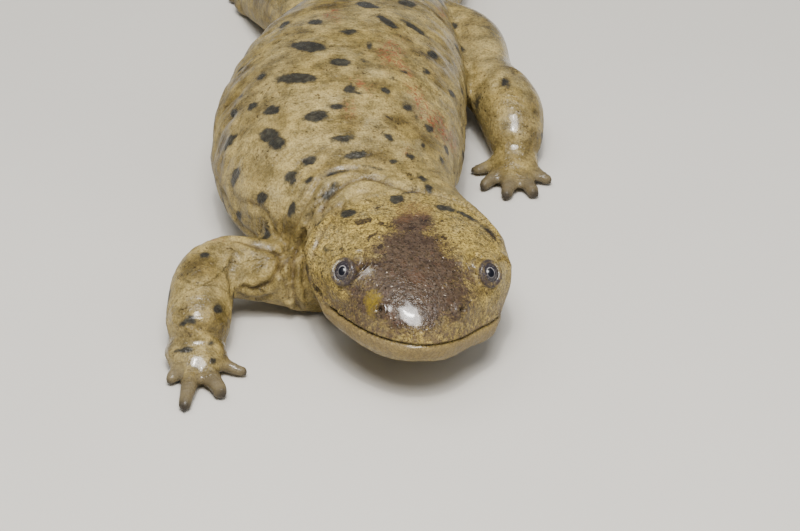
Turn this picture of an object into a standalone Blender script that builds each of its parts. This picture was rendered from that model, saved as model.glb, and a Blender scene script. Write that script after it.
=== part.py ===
"""A tiger salamander at rest on its belly, life size, in one pose.

The head is raised a little, the right arm reaches forward beside it, the
left arm is folded back under the neck, the left leg is drawn forward and
the right leg is pushed back. The flesh is modelled whole, from lofted
sections that are fused into one skin, and is then parted by cuts 0.3 mm
thick into the pieces that a person would name.

Sizes are in millimetres until a mesh is made, which is in metres. The
origin is on the floor under the middle of the belly. +Z is up, and the
animal faces -Y, so its left side is at +X.
"""

import math
from dataclasses import dataclass

import bmesh
import bpy
import numpy as np
from mathutils import Matrix, Vector

for left_over in list(bpy.data.objects):
    bpy.data.objects.remove(left_over, do_unlink=True)

MM = 0.001
CUT = 0.3

# Head, in its own frame: back from the snout, to the left, and up from the
# front of the mouth.
HEAD_LENGTH = 25.0
HEAD_HALF_WIDTH = 13.5
HEAD_WIDEST_AT = 17.5
MOUTH_HEIGHT = 10.5
SNOUT_TIP_RISE = 0.8
CROWN_RISE = 8.5
CROWN_AT = 20.0
THROAT_DROP = 5.6
THROAT_AT = 16.0
HEAD_ROLL = math.radians(-5.1)
MOUTH_CORNER_AT = 11.0
MOUTH_DROP_RIGHT = 0.65
MOUTH_DROP_LEFT = 1.4
LIP_SWELL = 0.5
LIP_BELOW = 1.5
LIP_HALF_HEIGHT = 1.1
HEAD_REACH = 17.0

EYE_RADIUS = 1.75
EYE_AT = 10.0
EYE_OUT = 9.4
EYE_RISE = 4.9
EYE_SWELL = 1.35
EYE_SWELL_REACH = 5.3

NOSTRIL_AT = 3.8
NOSTRIL_OUT = 5.4
NOSTRIL_RISE = 3.45
NOSTRIL_RADIUS = 0.5
NOSTRIL_SWELL = 0.35
NOSTRIL_SWELL_REACH = 1.8

# Trunk and tail.
COSTAL_FIRST = 46.0
COSTAL_LAST = 88.0
COSTAL_COUNT = 12
COSTAL_DEPTH = 0.35
COLLAR_AT = 26.5
COLLAR_DEPTH = 0.7
COLLAR_WIDTH = 1.5
TAIL_BASE_AT = 103.0
TOTAL_LENGTH = 190.0
RING_STEP = 1.6
NOSE_RINGS = 16

# Digits and palms: the height of a digit's middle line as a share of its
# radius, how far along it bends, and how much higher it is there.
DIGIT_LIFT = 0.82
DIGIT_START = 1.2
KNUCKLE_AT = 0.45
KNUCKLE_RISE = 0.75
BEND_AT = 0.72
BEND_RISE = 0.35
PALM_HALF_HEIGHT = 2.3

# How the fused skin is evened out: the share that each round takes, near the
# limbs' roots, on the hands and elsewhere.
ROOT_SOFTNESS = 0.55
ROOT_REACH = 9.0
ROOT_SHARE = 0.62
HAND_SOFTNESS = 0.08
HAND_REACH = 12.0
PLAIN_SOFTNESS = 0.12
SOFTEN_ROUNDS = 10

# Where the skin swells: back, left and up in the head's frame, then how far
# round that place and how much. The first row is on both sides.
CHEEK = (18.5, 12.0, 3.0, 5.0, 0.4)
JOWL_LEFT = (8.8, 10.2, -2.4, 5.5, 1.15)
JAW_JOINT_LEFT = (13.5, 12.0, 0.6, 6.0, 1.1)

SKIN_COLOUR = (0.26, 0.20, 0.09)
EYE_COLOUR = (0.03, 0.025, 0.015)

# Resolution of the fused skin, and of the solids that are cut from it.
VOXEL = 0.55
FLAT_WITHIN = 0.05
BUDGET = {
    "head": 2600, "lower_jaw": 700, "neck_shoulders": 1300, "torso_front": 700,
    "torso_middle": 1300, "torso_rear": 1500, "tail_base": 700, "tail_middle": 500,
    "tail_tip": 340, "right_hand": 560, "left_hand": 520, "left_foot": 600, "right_foot": 600,
}
LIMB_BUDGET = 240
RING_POINTS = 48


@dataclass(frozen=True)
class Section:
    """One cross-section of head, trunk or tail, at a distance behind the snout."""

    at: float
    half_width: float
    top: float
    bottom: float
    widest: float
    top_power: float


# The middle line seen from above, from the snout to the tip of the tail.
SPINE = (
    (11.4, -57.3), (10.1, -45.9), (7.9, -32.3), (3.2, -23.3), (0.4, -15.6), (-0.5, -8.0),
    (0.0, 0.0), (2.5, 15.0), (7.2, 34.0), (11.5, 46.5), (14.4, 59.0), (15.6, 72.0),
    (14.6, 87.0), (11.8, 101.0), (9.7, 114.0), (10.6, 127.5),
)

SECTIONS = (
    Section(26.0, 11.9, 19.1, 5.0, 12.2, 2.3),
    Section(30.0, 11.7, 19.7, 4.2, 11.9, 2.3),
    Section(34.0, 13.5, 20.7, 2.7, 11.4, 2.25),
    Section(39.0, 15.8, 22.1, 1.0, 10.7, 2.2),
    Section(45.0, 17.3, 23.4, -0.05, 10.2, 2.2),
    Section(55.0, 18.2, 24.5, -0.3, 9.9, 2.2),
    Section(66.0, 17.5, 24.3, -0.3, 9.8, 2.2),
    Section(76.0, 15.9, 22.9, -0.3, 9.5, 2.2),
    Section(86.0, 13.2, 20.5, -0.1, 9.0, 2.15),
    Section(93.0, 10.4, 18.4, 0.5, 8.8, 2.05),
    Section(99.0, 8.4, 17.0, 0.6, 8.3, 1.95),
    Section(106.0, 7.0, 16.0, 0.1, 7.6, 1.85),
    Section(120.0, 5.5, 14.6, -0.25, 6.4, 1.7),
    Section(140.0, 4.1, 12.2, -0.25, 5.2, 1.6),
    Section(160.0, 2.9, 9.0, -0.25, 3.8, 1.6),
    Section(178.0, 1.8, 5.4, -0.25, 2.3, 1.7),
    Section(187.0, 1.0, 2.9, -0.2, 1.3, 2.0),
)


@dataclass(frozen=True)
class Digit:
    """A finger or toe: its heading from straight ahead, its reach and thickness."""

    heading: float
    reach: float
    radius: float


@dataclass(frozen=True)
class Limb:
    """A limb's middle line, its thickness there, and the fan of its digits."""

    name: str
    upper: str
    lower: str
    end: str
    side: int
    root: tuple
    joint: tuple
    wrist: tuple
    palm: tuple
    radii: tuple
    palm_radius: float
    forward: float
    digits: tuple
    root_span: tuple
    root_stand_off: float
    cut_radii: tuple
    via: tuple = ()


RIGHT_HAND = (
    Digit(36.0, 6.4, 1.05), Digit(5.0, 11.2, 1.1), Digit(-27.0, 9.5, 1.2), Digit(-69.0, 7.9, 0.95),
)
LEFT_HAND = (
    Digit(62.0, 7.4, 0.95), Digit(24.0, 9.6, 1.1), Digit(-6.0, 9.8, 1.1), Digit(-42.0, 7.0, 1.0),
)
LEFT_FOOT = (
    Digit(84.0, 6.8, 0.95), Digit(42.0, 7.9, 1.05), Digit(10.0, 8.9, 1.1), Digit(-20.0, 8.8, 1.1),
    Digit(-54.0, 7.2, 1.0),
)
RIGHT_FOOT = (
    Digit(-76.0, 6.6, 0.95), Digit(-40.0, 8.2, 1.05), Digit(-10.0, 9.4, 1.1), Digit(18.0, 9.2, 1.1),
    Digit(50.0, 7.2, 1.0),
)

LIMBS = (
    Limb("right_arm", "right_upper_arm", "right_forearm", "right_hand", -1,
         (-1.0, -32.0, 4.3), (-17.7, -35.4, 7.3), (-18.7, -43.4, 4.5), (-18.9, -46.6, 2.4),
         (4.6, 4.3, 4.4, 3.9), 4.3, 0.0, RIGHT_HAND, (20.0, 42.0), 1.1, (8.0, 6.0)),
    Limb("left_arm", "left_upper_arm", "left_forearm", "left_hand", 1,
         (9.5, -22.5, 6.0), (18.3, -23.8, 4.1), (18.4, -30.4, 2.8), (17.9, -33.2, 1.8),
         (3.7, 3.1, 2.7, 2.5), 3.3, 20.0, LEFT_HAND, (20.0, 42.0), 0.6, (5.4, 4.4)),
    Limb("left_leg", "left_thigh", "left_shin", "left_foot", 1,
         (12.6, 37.0, 8.5), (25.2, 10.8, 5.8), (25.7, 6.6, 3.6), (25.5, 3.8, 2.0),
         (4.0, 4.2, 4.4, 5.0, 4.1, 3.3), 3.8, 0.0, LEFT_FOOT, (62.0, 104.0), 1.1, (6.4, 5.4),
         ((19.8, 31.0, 8.0), (21.8, 20.0, 7.0))),
    Limb("right_leg", "right_thigh", "right_shin", "right_foot", -1,
         (-1.0, 30.0, 9.0), (-9.4, 43.0, 6.8), (-13.6, 52.0, 3.8), (-15.0, 54.8, 2.0),
         (6.0, 4.8, 4.0, 3.3), 3.8, 205.0, RIGHT_FOOT, (78.0, 102.0), 1.1, (6.6, 5.4)),
)

TRUNK_CUTS = (HEAD_LENGTH, 43.0, 52.0, 74.0, TAIL_BASE_AT, 131.0, 161.0)
TRUNK_NAMES = (
    "head", "neck_shoulders", "torso_front", "torso_middle", "torso_rear",
    "tail_base", "tail_middle", "tail_tip",
)


def curve_through(keys, values, at):
    """Read a smooth curve through values, given at keys, at the places at."""
    keys = np.asarray(keys, float)
    values = np.asarray(values, float)
    at = np.clip(np.asarray(at, float), keys[0], keys[-1])
    steps = np.diff(keys)
    rise = (np.diff(values, axis=0).T / steps).T
    slopes = np.empty_like(values)
    slopes[0] = rise[0]
    slopes[-1] = rise[-1]
    lead = steps[:-1] / (steps[:-1] + steps[1:])
    slopes[1:-1] = ((1.0 - lead) * rise[:-1].T + lead * rise[1:].T).T
    index = np.clip(np.searchsorted(keys, at, side="right") - 1, 0, len(steps) - 1)
    width = steps[index]
    u = (at - keys[index]) / width
    if values.ndim > 1:
        u = u[..., None]
        width = width[..., None]
    return ((2 * u ** 3 - 3 * u ** 2 + 1) * values[index]
            + (u ** 3 - 2 * u ** 2 + u) * width * slopes[index]
            + (3 * u ** 2 - 2 * u ** 3) * values[index + 1]
            + (u ** 3 - u ** 2) * width * slopes[index + 1])


SPINE_POINTS = np.array(SPINE)
SPINE_KEYS = np.concatenate(
    ([0.0], np.cumsum(np.linalg.norm(np.diff(SPINE_POINTS, axis=0), axis=1))))
SPINE_KEYS *= TOTAL_LENGTH / SPINE_KEYS[-1]


def spine_frame(at):
    """Return the middle line's place, its backward direction and its left."""
    at = np.asarray(at, float)
    place = curve_through(SPINE_KEYS, SPINE_POINTS, at)
    ahead = curve_through(SPINE_KEYS, SPINE_POINTS, at + 0.5)
    behind = curve_through(SPINE_KEYS, SPINE_POINTS, at - 0.5)
    back = ahead - behind
    back = back / np.linalg.norm(back, axis=-1, keepdims=True)
    left = np.stack((back[..., 1], -back[..., 0]), axis=-1)
    return place, back, left


def snout_rounding(at, length, bluntness, power):
    """Return 0 at the snout's tip, rising as a rounded end to 1 at length."""
    u = np.clip(at / length, 0.0, 1.0)
    return (1.0 - (1.0 - u) ** bluntness) ** power


def front_sizes(at):
    """Return half width, top, bottom, widest height and top power of the head's front."""
    tip = MOUTH_HEIGHT + SNOUT_TIP_RISE
    return np.stack((
        HEAD_HALF_WIDTH * snout_rounding(at, HEAD_WIDEST_AT, 1.3, 0.55),
        tip + (CROWN_RISE - SNOUT_TIP_RISE) * snout_rounding(at, CROWN_AT, 2.0, 0.62),
        tip - (THROAT_DROP + SNOUT_TIP_RISE) * snout_rounding(at, THROAT_AT, 2.0, 0.28),
        tip - 0.5 + 0.09 * at,
        np.full_like(at, 2.3)), axis=-1)


def section_sizes(at):
    """Return half width, top, bottom, widest height and top power at a place."""
    behind = np.array((HEAD_WIDEST_AT - 3.0, HEAD_WIDEST_AT, HEAD_WIDEST_AT + 4.0))
    nose = np.column_stack((behind, front_sizes(behind)))
    nose[-1, 1] = HEAD_HALF_WIDTH - 0.4
    rest = np.array([[s.at, s.half_width, s.top, s.bottom, s.widest, s.top_power]
                     for s in SECTIONS])
    table = np.vstack((nose, rest))
    sizes = curve_through(table[:, 0], table[:, 1:], at)
    front = np.asarray(at < HEAD_WIDEST_AT)[..., None]
    return np.where(front, front_sizes(np.asarray(at, float)), sizes)


def roll_at(at):
    """Return the head's sideways lean, which the neck takes up."""
    return HEAD_ROLL * np.clip((40.0 - at) / 14.0, 0.0, 1.0)


def ring(at, angles, stand_off=0.0):
    """Return the points of one section, at angles from the left side upwards."""
    half_width, top, bottom, widest, top_power = section_sizes(np.float64(at))
    cos, sin = np.cos(angles), np.sin(angles)
    jaw_power = 4.2 - 1.95 * min(1.0, at / HEAD_LENGTH)
    power = np.where(sin > 0.0, top_power, jaw_power)
    out = (half_width + stand_off) * np.sign(cos) * np.abs(cos) ** (2.0 / power)
    height = np.where(sin > 0.0, top - widest, widest - bottom) + stand_off
    up = height * np.sign(sin) * np.abs(sin) ** (2.0 / power)
    roll = roll_at(at)
    turned_out = out * math.cos(roll) - up * math.sin(roll)
    turned_up = out * math.sin(roll) + up * math.cos(roll)
    place, _, left = spine_frame(at)
    points = np.empty((len(angles), 3))
    points[:, :2] = place + turned_out[:, None] * left
    points[:, 2] = widest + turned_up
    return points


def head_point(at, out, rise):
    """Turn a place in the head's own frame into the animal's."""
    snout = Vector((*SPINE[0], MOUTH_HEIGHT + SNOUT_TIP_RISE))
    back = (Vector((*SPINE[1], snout.z)) - snout).normalized()
    left = Vector((back.y, -back.x, 0.0))
    up = rise - SNOUT_TIP_RISE
    turned_out = out * math.cos(HEAD_ROLL) - up * math.sin(HEAD_ROLL)
    turned_up = out * math.sin(HEAD_ROLL) + up * math.cos(HEAD_ROLL)
    return snout + at * back + turned_out * left + Vector((0.0, 0.0, turned_up))


def loft(name, rings):
    """Build a tube through rings of points, closed by a fan at each end."""
    mesh = bmesh.new()
    loops = [[mesh.verts.new(Vector(point) * MM) for point in points] for points in rings]
    for near, far in zip(loops, loops[1:]):
        for i in range(len(near)):
            j = (i + 1) % len(near)
            mesh.faces.new((near[i], near[j], far[j], far[i]))
    for loop in (loops[0], loops[-1]):
        tip = mesh.verts.new(sum((v.co for v in loop), Vector()) / len(loop))
        for i in range(len(loop)):
            mesh.faces.new((loop[i], loop[(i + 1) % len(loop)], tip))
    bmesh.ops.recalc_face_normals(mesh, faces=mesh.faces)
    return new_object(name, mesh)


def new_object(name, mesh):
    """Make an object of a bmesh, which it frees."""
    data = bpy.data.meshes.new(name)
    mesh.to_mesh(data)
    mesh.free()
    result = bpy.data.objects.new(name, data)
    bpy.context.scene.collection.objects.link(result)
    return result


def body_form():
    """Loft the head, trunk and tail through their sections."""
    angles = np.linspace(0.0, 2.0 * math.pi, RING_POINTS, endpoint=False)
    nose = HEAD_WIDEST_AT * (1.0 - np.cos(np.linspace(0.06, 0.5 * math.pi, NOSE_RINGS)))
    rest = np.arange(nose[-1] + RING_STEP, TOTAL_LENGTH - 2.0, RING_STEP)
    return loft("body_form", [ring(at, angles) for at in np.concatenate((nose, rest))])


def tube_form(name, middle, radii, flatten=1.0, sides=20):
    """Loft a limb or digit along a middle line, with a round end."""
    middle = np.asarray(middle, float)
    keys = np.concatenate(([0.0], np.cumsum(np.linalg.norm(np.diff(middle, axis=0), axis=1))))
    radii = np.asarray(radii, float)
    count = max(8, int(keys[-1] / 0.7))
    at = np.linspace(0.0, keys[-1], count)
    line = curve_through(keys, middle, at)
    thick = curve_through(keys, radii, at)
    end = thick[-1]
    cap = np.sqrt(np.clip(1.0 - np.clip((at - (keys[-1] - end)) / end, 0.0, 0.985) ** 2, 0.0, 1.0))
    thick = thick * cap
    rings = []
    angles = np.linspace(0.0, 2.0 * math.pi, sides, endpoint=False)
    for i, place in enumerate(line):
        run = Vector(line[min(i + 1, count - 1)] - line[max(i - 1, 0)]).normalized()
        across = run.cross(Vector((0.0, 0.0, 1.0)))
        if across.length < 0.2:
            across = Vector((1.0, 0.0, 0.0))
        across.normalize()
        over = across.cross(run).normalized()
        wide = across * float(thick[i])
        tall = over * float(thick[i] * flatten)
        rings.append([Vector(place) + math.cos(a) * wide + math.sin(a) * tall for a in angles])
    return loft(name, rings)


def digit_line(limb, digit):
    """Return the middle line of a digit, from inside the palm to its tip."""
    heading = math.radians(limb.forward + digit.heading)
    ahead = Vector((-math.sin(heading), -math.cos(heading), 0.0))
    palm = Vector(limb.palm)
    lift = digit.radius * DIGIT_LIFT
    start = palm + ahead * DIGIT_START
    knuckle = palm + ahead * (digit.reach * KNUCKLE_AT)
    bend = palm + ahead * (digit.reach * BEND_AT)
    tip = palm + ahead * digit.reach
    knuckle.z = lift + KNUCKLE_RISE
    bend.z = lift + BEND_RISE
    tip.z = lift
    return (start, knuckle, bend, tip)


def limb_forms(limb):
    """Loft one limb, its palm and its digits."""
    line = (limb.root, *limb.via, limb.joint, limb.wrist, limb.palm)
    pieces = [tube_form(limb.name, line, limb.radii)]
    palm = bmesh.new()
    bmesh.ops.create_uvsphere(palm, u_segments=20, v_segments=12, radius=1.0)
    scale = Matrix.Diagonal((limb.palm_radius, limb.palm_radius, PALM_HALF_HEIGHT, 1.0))
    place = Matrix.Translation(Vector(limb.palm) * MM)
    bmesh.ops.transform(palm, matrix=place @ Matrix.Scale(MM, 4) @ scale, verts=palm.verts)
    pieces.append(new_object(limb.name + "_palm", palm))
    for digit in limb.digits:
        r = digit.radius
        pieces.append(tube_form(limb.name + "_digit", digit_line(limb, digit),
                                (r * 1.15, r * 1.15, r, r * 0.92), 0.9, 12))
    return pieces


def join_in_skin(pieces):
    """Fuse closed pieces into one even skin."""
    with bpy.context.temp_override(active_object=pieces[0], selected_editable_objects=pieces):
        bpy.ops.object.join()
    skin = pieces[0]
    remesh = skin.modifiers.new("fuse", "REMESH")
    remesh.mode = "VOXEL"
    remesh.voxel_size = VOXEL * MM
    apply_modifiers(skin)
    return skin


def apply_modifiers(thing):
    """Replace an object's mesh by what its modifiers make of it."""
    graph = bpy.context.evaluated_depsgraph_get()
    made = bpy.data.meshes.new_from_object(thing.evaluated_get(graph))
    thing.modifiers.clear()
    thing.data = made


def read_points(thing):
    """Return a mesh's vertices in millimetres."""
    flat = np.empty(len(thing.data.vertices) * 3)
    thing.data.vertices.foreach_get("co", flat)
    return flat.reshape(-1, 3) / MM


def write_points(thing, points):
    """Set a mesh's vertices, given in millimetres."""
    thing.data.vertices.foreach_set("co", (points * MM).ravel())
    thing.data.update()


def relax(thing, weight, rounds):
    """Smooth a mesh, by a weight for each vertex."""
    points = read_points(thing)
    edges = np.empty(len(thing.data.edges) * 2, int)
    thing.data.edges.foreach_get("vertices", edges)
    edges = edges.reshape(-1, 2)
    count = np.bincount(edges.ravel(), minlength=len(points))[:, None]
    for _ in range(rounds):
        total = np.zeros_like(points)
        for axis in range(3):
            total[:, axis] = (np.bincount(edges[:, 0], points[edges[:, 1], axis], len(points))
                              + np.bincount(edges[:, 1], points[edges[:, 0], axis], len(points)))
        points += weight[:, None] * (total / count - points)
    write_points(thing, points)


def fade(distance, reach):
    """Return 1 at no distance, falling smoothly to 0 at reach."""
    u = np.clip(distance / reach, 0.0, 1.0)
    return 1.0 - u * u * (3.0 - 2.0 * u)


def soften_roots(skin):
    """Blend each limb into the trunk and round its bends."""
    points = read_points(skin)
    weight = np.full(len(points), PLAIN_SOFTNESS)
    for limb in LIMBS:
        joint = np.array(limb.joint)
        root = np.array(limb.root)
        near_root = root + ROOT_SHARE * (joint - root)
        away = np.linalg.norm(points - near_root, axis=1)
        weight = np.maximum(weight, ROOT_SOFTNESS * fade(away, ROOT_REACH))
        away = np.linalg.norm(points - np.array(limb.palm), axis=1)
        weight = np.where(away < HAND_REACH, HAND_SOFTNESS, weight)
    relax(skin, weight, SOFTEN_ROUNDS)


def along_spine(points):
    """Return how far behind the snout each point is, and how far out to the left."""
    at = np.arange(0.0, TOTAL_LENGTH, 0.5)
    place, _, left = spine_frame(at)
    nearest = np.empty(len(points), int)
    for start in range(0, len(points), 20000):
        part = points[start:start + 20000, None, :2]
        nearest[start:start + 20000] = np.argmin(np.sum((part - place[None]) ** 2, axis=2), axis=1)
    offset = points[:, :2] - place[nearest]
    back = np.stack((-left[nearest][:, 1], left[nearest][:, 0]), axis=1)
    return (at[nearest] + np.sum(offset * back, axis=1),
            np.sum(offset * left[nearest], axis=1))


def normals_of(thing):
    """Return the mesh's vertex normals."""
    flat = np.empty(len(thing.data.vertices) * 3)
    thing.data.vertex_normals.foreach_get("vector", flat)
    return flat.reshape(-1, 3)


def swelling(points, at, out, rise, reach, height):
    """Return a rounded swelling about a place in the head's frame."""
    middle = np.array(head_point(at, out, rise))
    return height * fade(np.linalg.norm(points - middle, axis=1), reach)


def shape_details(skin):
    """Raise and sink the skin's smaller forms."""
    points = read_points(skin)
    normals = normals_of(skin)
    at, out = along_spine(points)
    half_width = section_sizes(at)[:, 0]
    rise = np.zeros(len(points))
    on_trunk = fade(np.clip(np.abs(out) - half_width - 0.5, 0.0, None), 1.0)
    side = np.clip(np.abs(out) / half_width, 0.0, 1.0) ** 2
    spacing = (COSTAL_LAST - COSTAL_FIRST) / COSTAL_COUNT
    wave = np.abs(np.sin(math.pi * (at - COSTAL_FIRST) / spacing)) ** 0.6 - 0.6
    in_rows = fade(np.abs(at - 0.5 * (COSTAL_FIRST + COSTAL_LAST)) - 17.0, 7.0)
    rise += COSTAL_DEPTH * wave * side * in_rows * on_trunk
    collar = np.exp(-((at - COLLAR_AT) / COLLAR_WIDTH) ** 2)
    low = np.clip((17.5 - points[:, 2]) / 8.0, 0.0, 1.0)
    rise -= COLLAR_DEPTH * collar * low * on_trunk
    for way in (-1, 1):
        rise += swelling(points, EYE_AT, way * EYE_OUT, EYE_RISE, EYE_SWELL_REACH, EYE_SWELL)
        cheek_at, cheek_out, *cheek_size = CHEEK
        rise += swelling(points, cheek_at, way * cheek_out, *cheek_size)
        rise += swelling(points, NOSTRIL_AT, way * NOSTRIL_OUT, NOSTRIL_RISE,
                         NOSTRIL_SWELL_REACH, NOSTRIL_SWELL)
    rise += swelling(points, *JOWL_LEFT) + swelling(points, *JAW_JOINT_LEFT)
    middle_drop = 0.5 * (MOUTH_DROP_LEFT + MOUTH_DROP_RIGHT)
    mouth = MOUTH_HEIGHT - middle_drop * at / MOUTH_CORNER_AT
    below = mouth - points[:, 2]
    lip = np.exp(-((below - LIP_BELOW) / LIP_HALF_HEIGHT) ** 2) * fade(at - MOUTH_CORNER_AT, 4.0)
    rise += LIP_SWELL * lip * np.clip(0.35 + at / 9.0, 0.0, 1.0)
    points += normals * rise[:, None]
    write_points(skin, points)


def thin_out(thing, triangles):
    """Lower an object's triangle count, and keep its floor flat level."""
    count = sum(len(face.vertices) - 2 for face in thing.data.polygons)
    thin = thing.modifiers.new("thin", "DECIMATE")
    thin.ratio = min(1.0, triangles / count)
    thin.use_collapse_triangulate = True
    apply_modifiers(thing)
    points = read_points(thing)
    points[:, 2] = np.where(np.abs(points[:, 2]) < FLAT_WITHIN, 0.0, points[:, 2])
    write_points(thing, points)
    mend(thing)


def mend(thing):
    """Close the few places where thinning has pinched a surface."""
    mesh = bmesh.new()
    mesh.from_mesh(thing.data)
    for _ in range(4):
        bmesh.ops.dissolve_degenerate(mesh, edges=mesh.edges, dist=1e-7)
        pinched = [edge for edge in mesh.edges if len(edge.link_faces) != 2]
        if not pinched:
            break
        around = {face for edge in pinched for vertex in edge.verts for face in vertex.link_faces}
        bmesh.ops.delete(mesh, geom=list(around), context="FACES")
        loose = [edge for edge in mesh.edges if not edge.link_faces]
        bmesh.ops.delete(mesh, geom=loose, context="EDGES")
        rim = [edge for edge in mesh.edges if edge.is_boundary]
        bmesh.ops.holes_fill(mesh, edges=rim, sides=0)
        bmesh.ops.triangulate(mesh, faces=[face for face in mesh.faces if len(face.verts) > 3])
    mesh.to_mesh(thing.data)
    mesh.free()


def cutter(name, thing):
    """File an object among the cutters, out of the render."""
    thing.name = name
    thing.hide_render = True
    thing.display_type = "WIRE"
    bpy.context.scene.collection.objects.unlink(thing)
    CUTTERS.objects.link(thing)
    return thing


def sheet(name, rows, thickness):
    """Build a thin curved plate from rows of points."""
    mesh = bmesh.new()
    grid = [[mesh.verts.new(Vector(point) * MM) for point in row] for row in rows]
    for near, far in zip(grid, grid[1:]):
        for i in range(len(near) - 1):
            mesh.faces.new((near[i], near[i + 1], far[i + 1], far[i]))
    bmesh.ops.recalc_face_normals(mesh, faces=mesh.faces)
    plate = new_object(name, mesh)
    solid = plate.modifiers.new("thickness", "SOLIDIFY")
    solid.thickness = thickness * MM
    solid.offset = 0.0
    apply_modifiers(plate)
    return cutter(name, plate)


def make_trunk_cutters():
    """Make the discs that part head, trunk and tail."""
    angles = np.linspace(0.0, 2.0 * math.pi, 32, endpoint=False)
    for number, at in enumerate(TRUNK_CUTS):
        place, back, _ = spine_frame(at)
        points = ring(at, angles, 1.5)
        half = np.append(back, 0.0) * 0.5 * CUT
        cutter("trunk_cut_%d" % number, loft("cut", (points - half, points + half)))


def make_mouth_cutter():
    """Make the bent plate that parts the lower jaw from the head."""
    line = ((-3.0, 0.4, 0.4), (0.0, 0.15, 0.15),
            (MOUTH_CORNER_AT, -MOUTH_DROP_RIGHT, -MOUTH_DROP_LEFT),
            (MOUTH_CORNER_AT + 2.0, -2.6, -3.2), (MOUTH_CORNER_AT + 3.0, -7.0, -7.0))
    rows = [[head_point(at, -HEAD_REACH, right), head_point(at, 0.0, 0.5 * (right + left)),
             head_point(at, HEAD_REACH, left)] for at, right, left in line]
    sheet("mouth_cut", rows, CUT)


def make_limb_cutters(limb):
    """Make the curved plate at a limb's root and the discs at its joints."""
    first, last = (-1.3, 0.8) if limb.side > 0 else (math.pi - 0.8, math.pi + 1.3)
    angles = np.linspace(first, last, 11)
    rows = [ring(at, angles, limb.root_stand_off) for at in np.linspace(*limb.root_span, 9)]
    sheet(limb.name + "_root_cut", rows, CUT)
    joint, wrist, palm = Vector(limb.joint), Vector(limb.wrist), Vector(limb.palm)
    bend = ((joint - Vector(limb.root)).normalized() + (wrist - joint).normalized())
    disc(limb.name + "_joint_cut", joint + bend.normalized(), bend, limb.cut_radii[0])
    disc(limb.name + "_wrist_cut", wrist, palm - joint, limb.cut_radii[1])


def disc(name, place, facing, radius):
    """Make a thin round cutter across a limb."""
    mesh = bmesh.new()
    bmesh.ops.create_cone(mesh, cap_ends=True, segments=20, radius1=radius * MM,
                          radius2=radius * MM, depth=CUT * MM)
    turn = facing.to_track_quat("Z", "Y").to_matrix().to_4x4()
    bmesh.ops.transform(mesh, matrix=Matrix.Translation(place * MM) @ turn, verts=mesh.verts)
    cutter(name, new_object(name, mesh))


def ball(name, place, radius, segments=20):
    """Make a sphere in millimetres."""
    mesh = bmesh.new()
    bmesh.ops.create_uvsphere(mesh, u_segments=segments, v_segments=segments // 2 + 2,
                              radius=radius * MM)
    bmesh.ops.translate(mesh, vec=place * MM, verts=mesh.verts)
    return new_object(name, mesh)


def make_floor_cutter():
    """Make the block that leaves flats where the animal touches the floor."""
    mesh = bmesh.new()
    bmesh.ops.create_cube(mesh, size=1.0)
    size = Matrix.Diagonal((0.12, 0.24, 0.01, 1.0))
    bmesh.ops.transform(mesh, matrix=Matrix.Translation((0.0, 0.03, -0.005)) @ size,
                        verts=mesh.verts)
    cutter("floor_cut", new_object("floor_cut", mesh))


def part_skin(skin):
    """Cut the skin by all the cutters and return its closed pieces."""
    cut = skin.modifiers.new("cut", "BOOLEAN")
    cut.operation = "DIFFERENCE"
    cut.operand_type = "COLLECTION"
    cut.collection = CUTTERS
    cut.solver = "EXACT"
    apply_modifiers(skin)
    mesh = bmesh.new()
    mesh.from_mesh(skin.data)
    pieces = []
    waiting = set(mesh.verts)
    while waiting:
        stack = [waiting.pop()]
        found = set(stack)
        while stack:
            for edge in stack.pop().link_edges:
                for vertex in edge.verts:
                    if vertex not in found:
                        found.add(vertex)
                        stack.append(vertex)
        waiting -= found
        pieces.append(found)
    return mesh, pieces


def piece_object(name, mesh, verts):
    """Copy one closed piece of a mesh into an object of its own."""
    copy = bmesh.new()
    twin = {v: copy.verts.new(v.co) for v in verts}
    faces = {face for v in verts for face in v.link_faces}
    for face in sorted(faces, key=lambda f: f.index):
        copy.faces.new([twin[v] for v in face.verts])
    return new_object(name, copy)


def finish(name, base, roughness):
    """Make a material with a colour and a roughness."""
    material = bpy.data.materials.new(name)
    material.use_nodes = True
    shader = material.node_tree.nodes["Principled BSDF"]
    shader.inputs["Base Color"].default_value = (*base, 1.0)
    shader.inputs["Roughness"].default_value = roughness
    shader.inputs["Metallic"].default_value = 0.0
    return material


def markers():
    """Name a place inside each piece of flesh."""
    names = {}
    edges = (12.0,) + TRUNK_CUTS + (TOTAL_LENGTH - 6.0,)
    for name, start, end in zip(TRUNK_NAMES, edges, edges[1:]):
        at = 0.5 * (start + end)
        place, _, _ = spine_frame(at)
        size = section_sizes(np.float64(at))
        names[name] = Vector((place[0], place[1], 0.5 * (size[1] + size[2])))
    names["lower_jaw"] = head_point(7.0, 0.0, -3.2)
    for limb in LIMBS:
        root, joint = Vector(limb.root), Vector(limb.joint)
        wrist, palm = Vector(limb.wrist), Vector(limb.palm)
        names[limb.upper] = root.lerp(joint, 0.75)
        names[limb.lower] = joint.lerp(wrist, 0.55)
        names[limb.end] = palm + (palm - wrist).normalized() * 1.0
    return names


MODEL = bpy.data.collections.new("tiger_salamander")
CUTTERS = bpy.data.collections.new("cutters")
bpy.context.scene.collection.children.link(MODEL)
bpy.context.scene.collection.children.link(CUTTERS)


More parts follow.
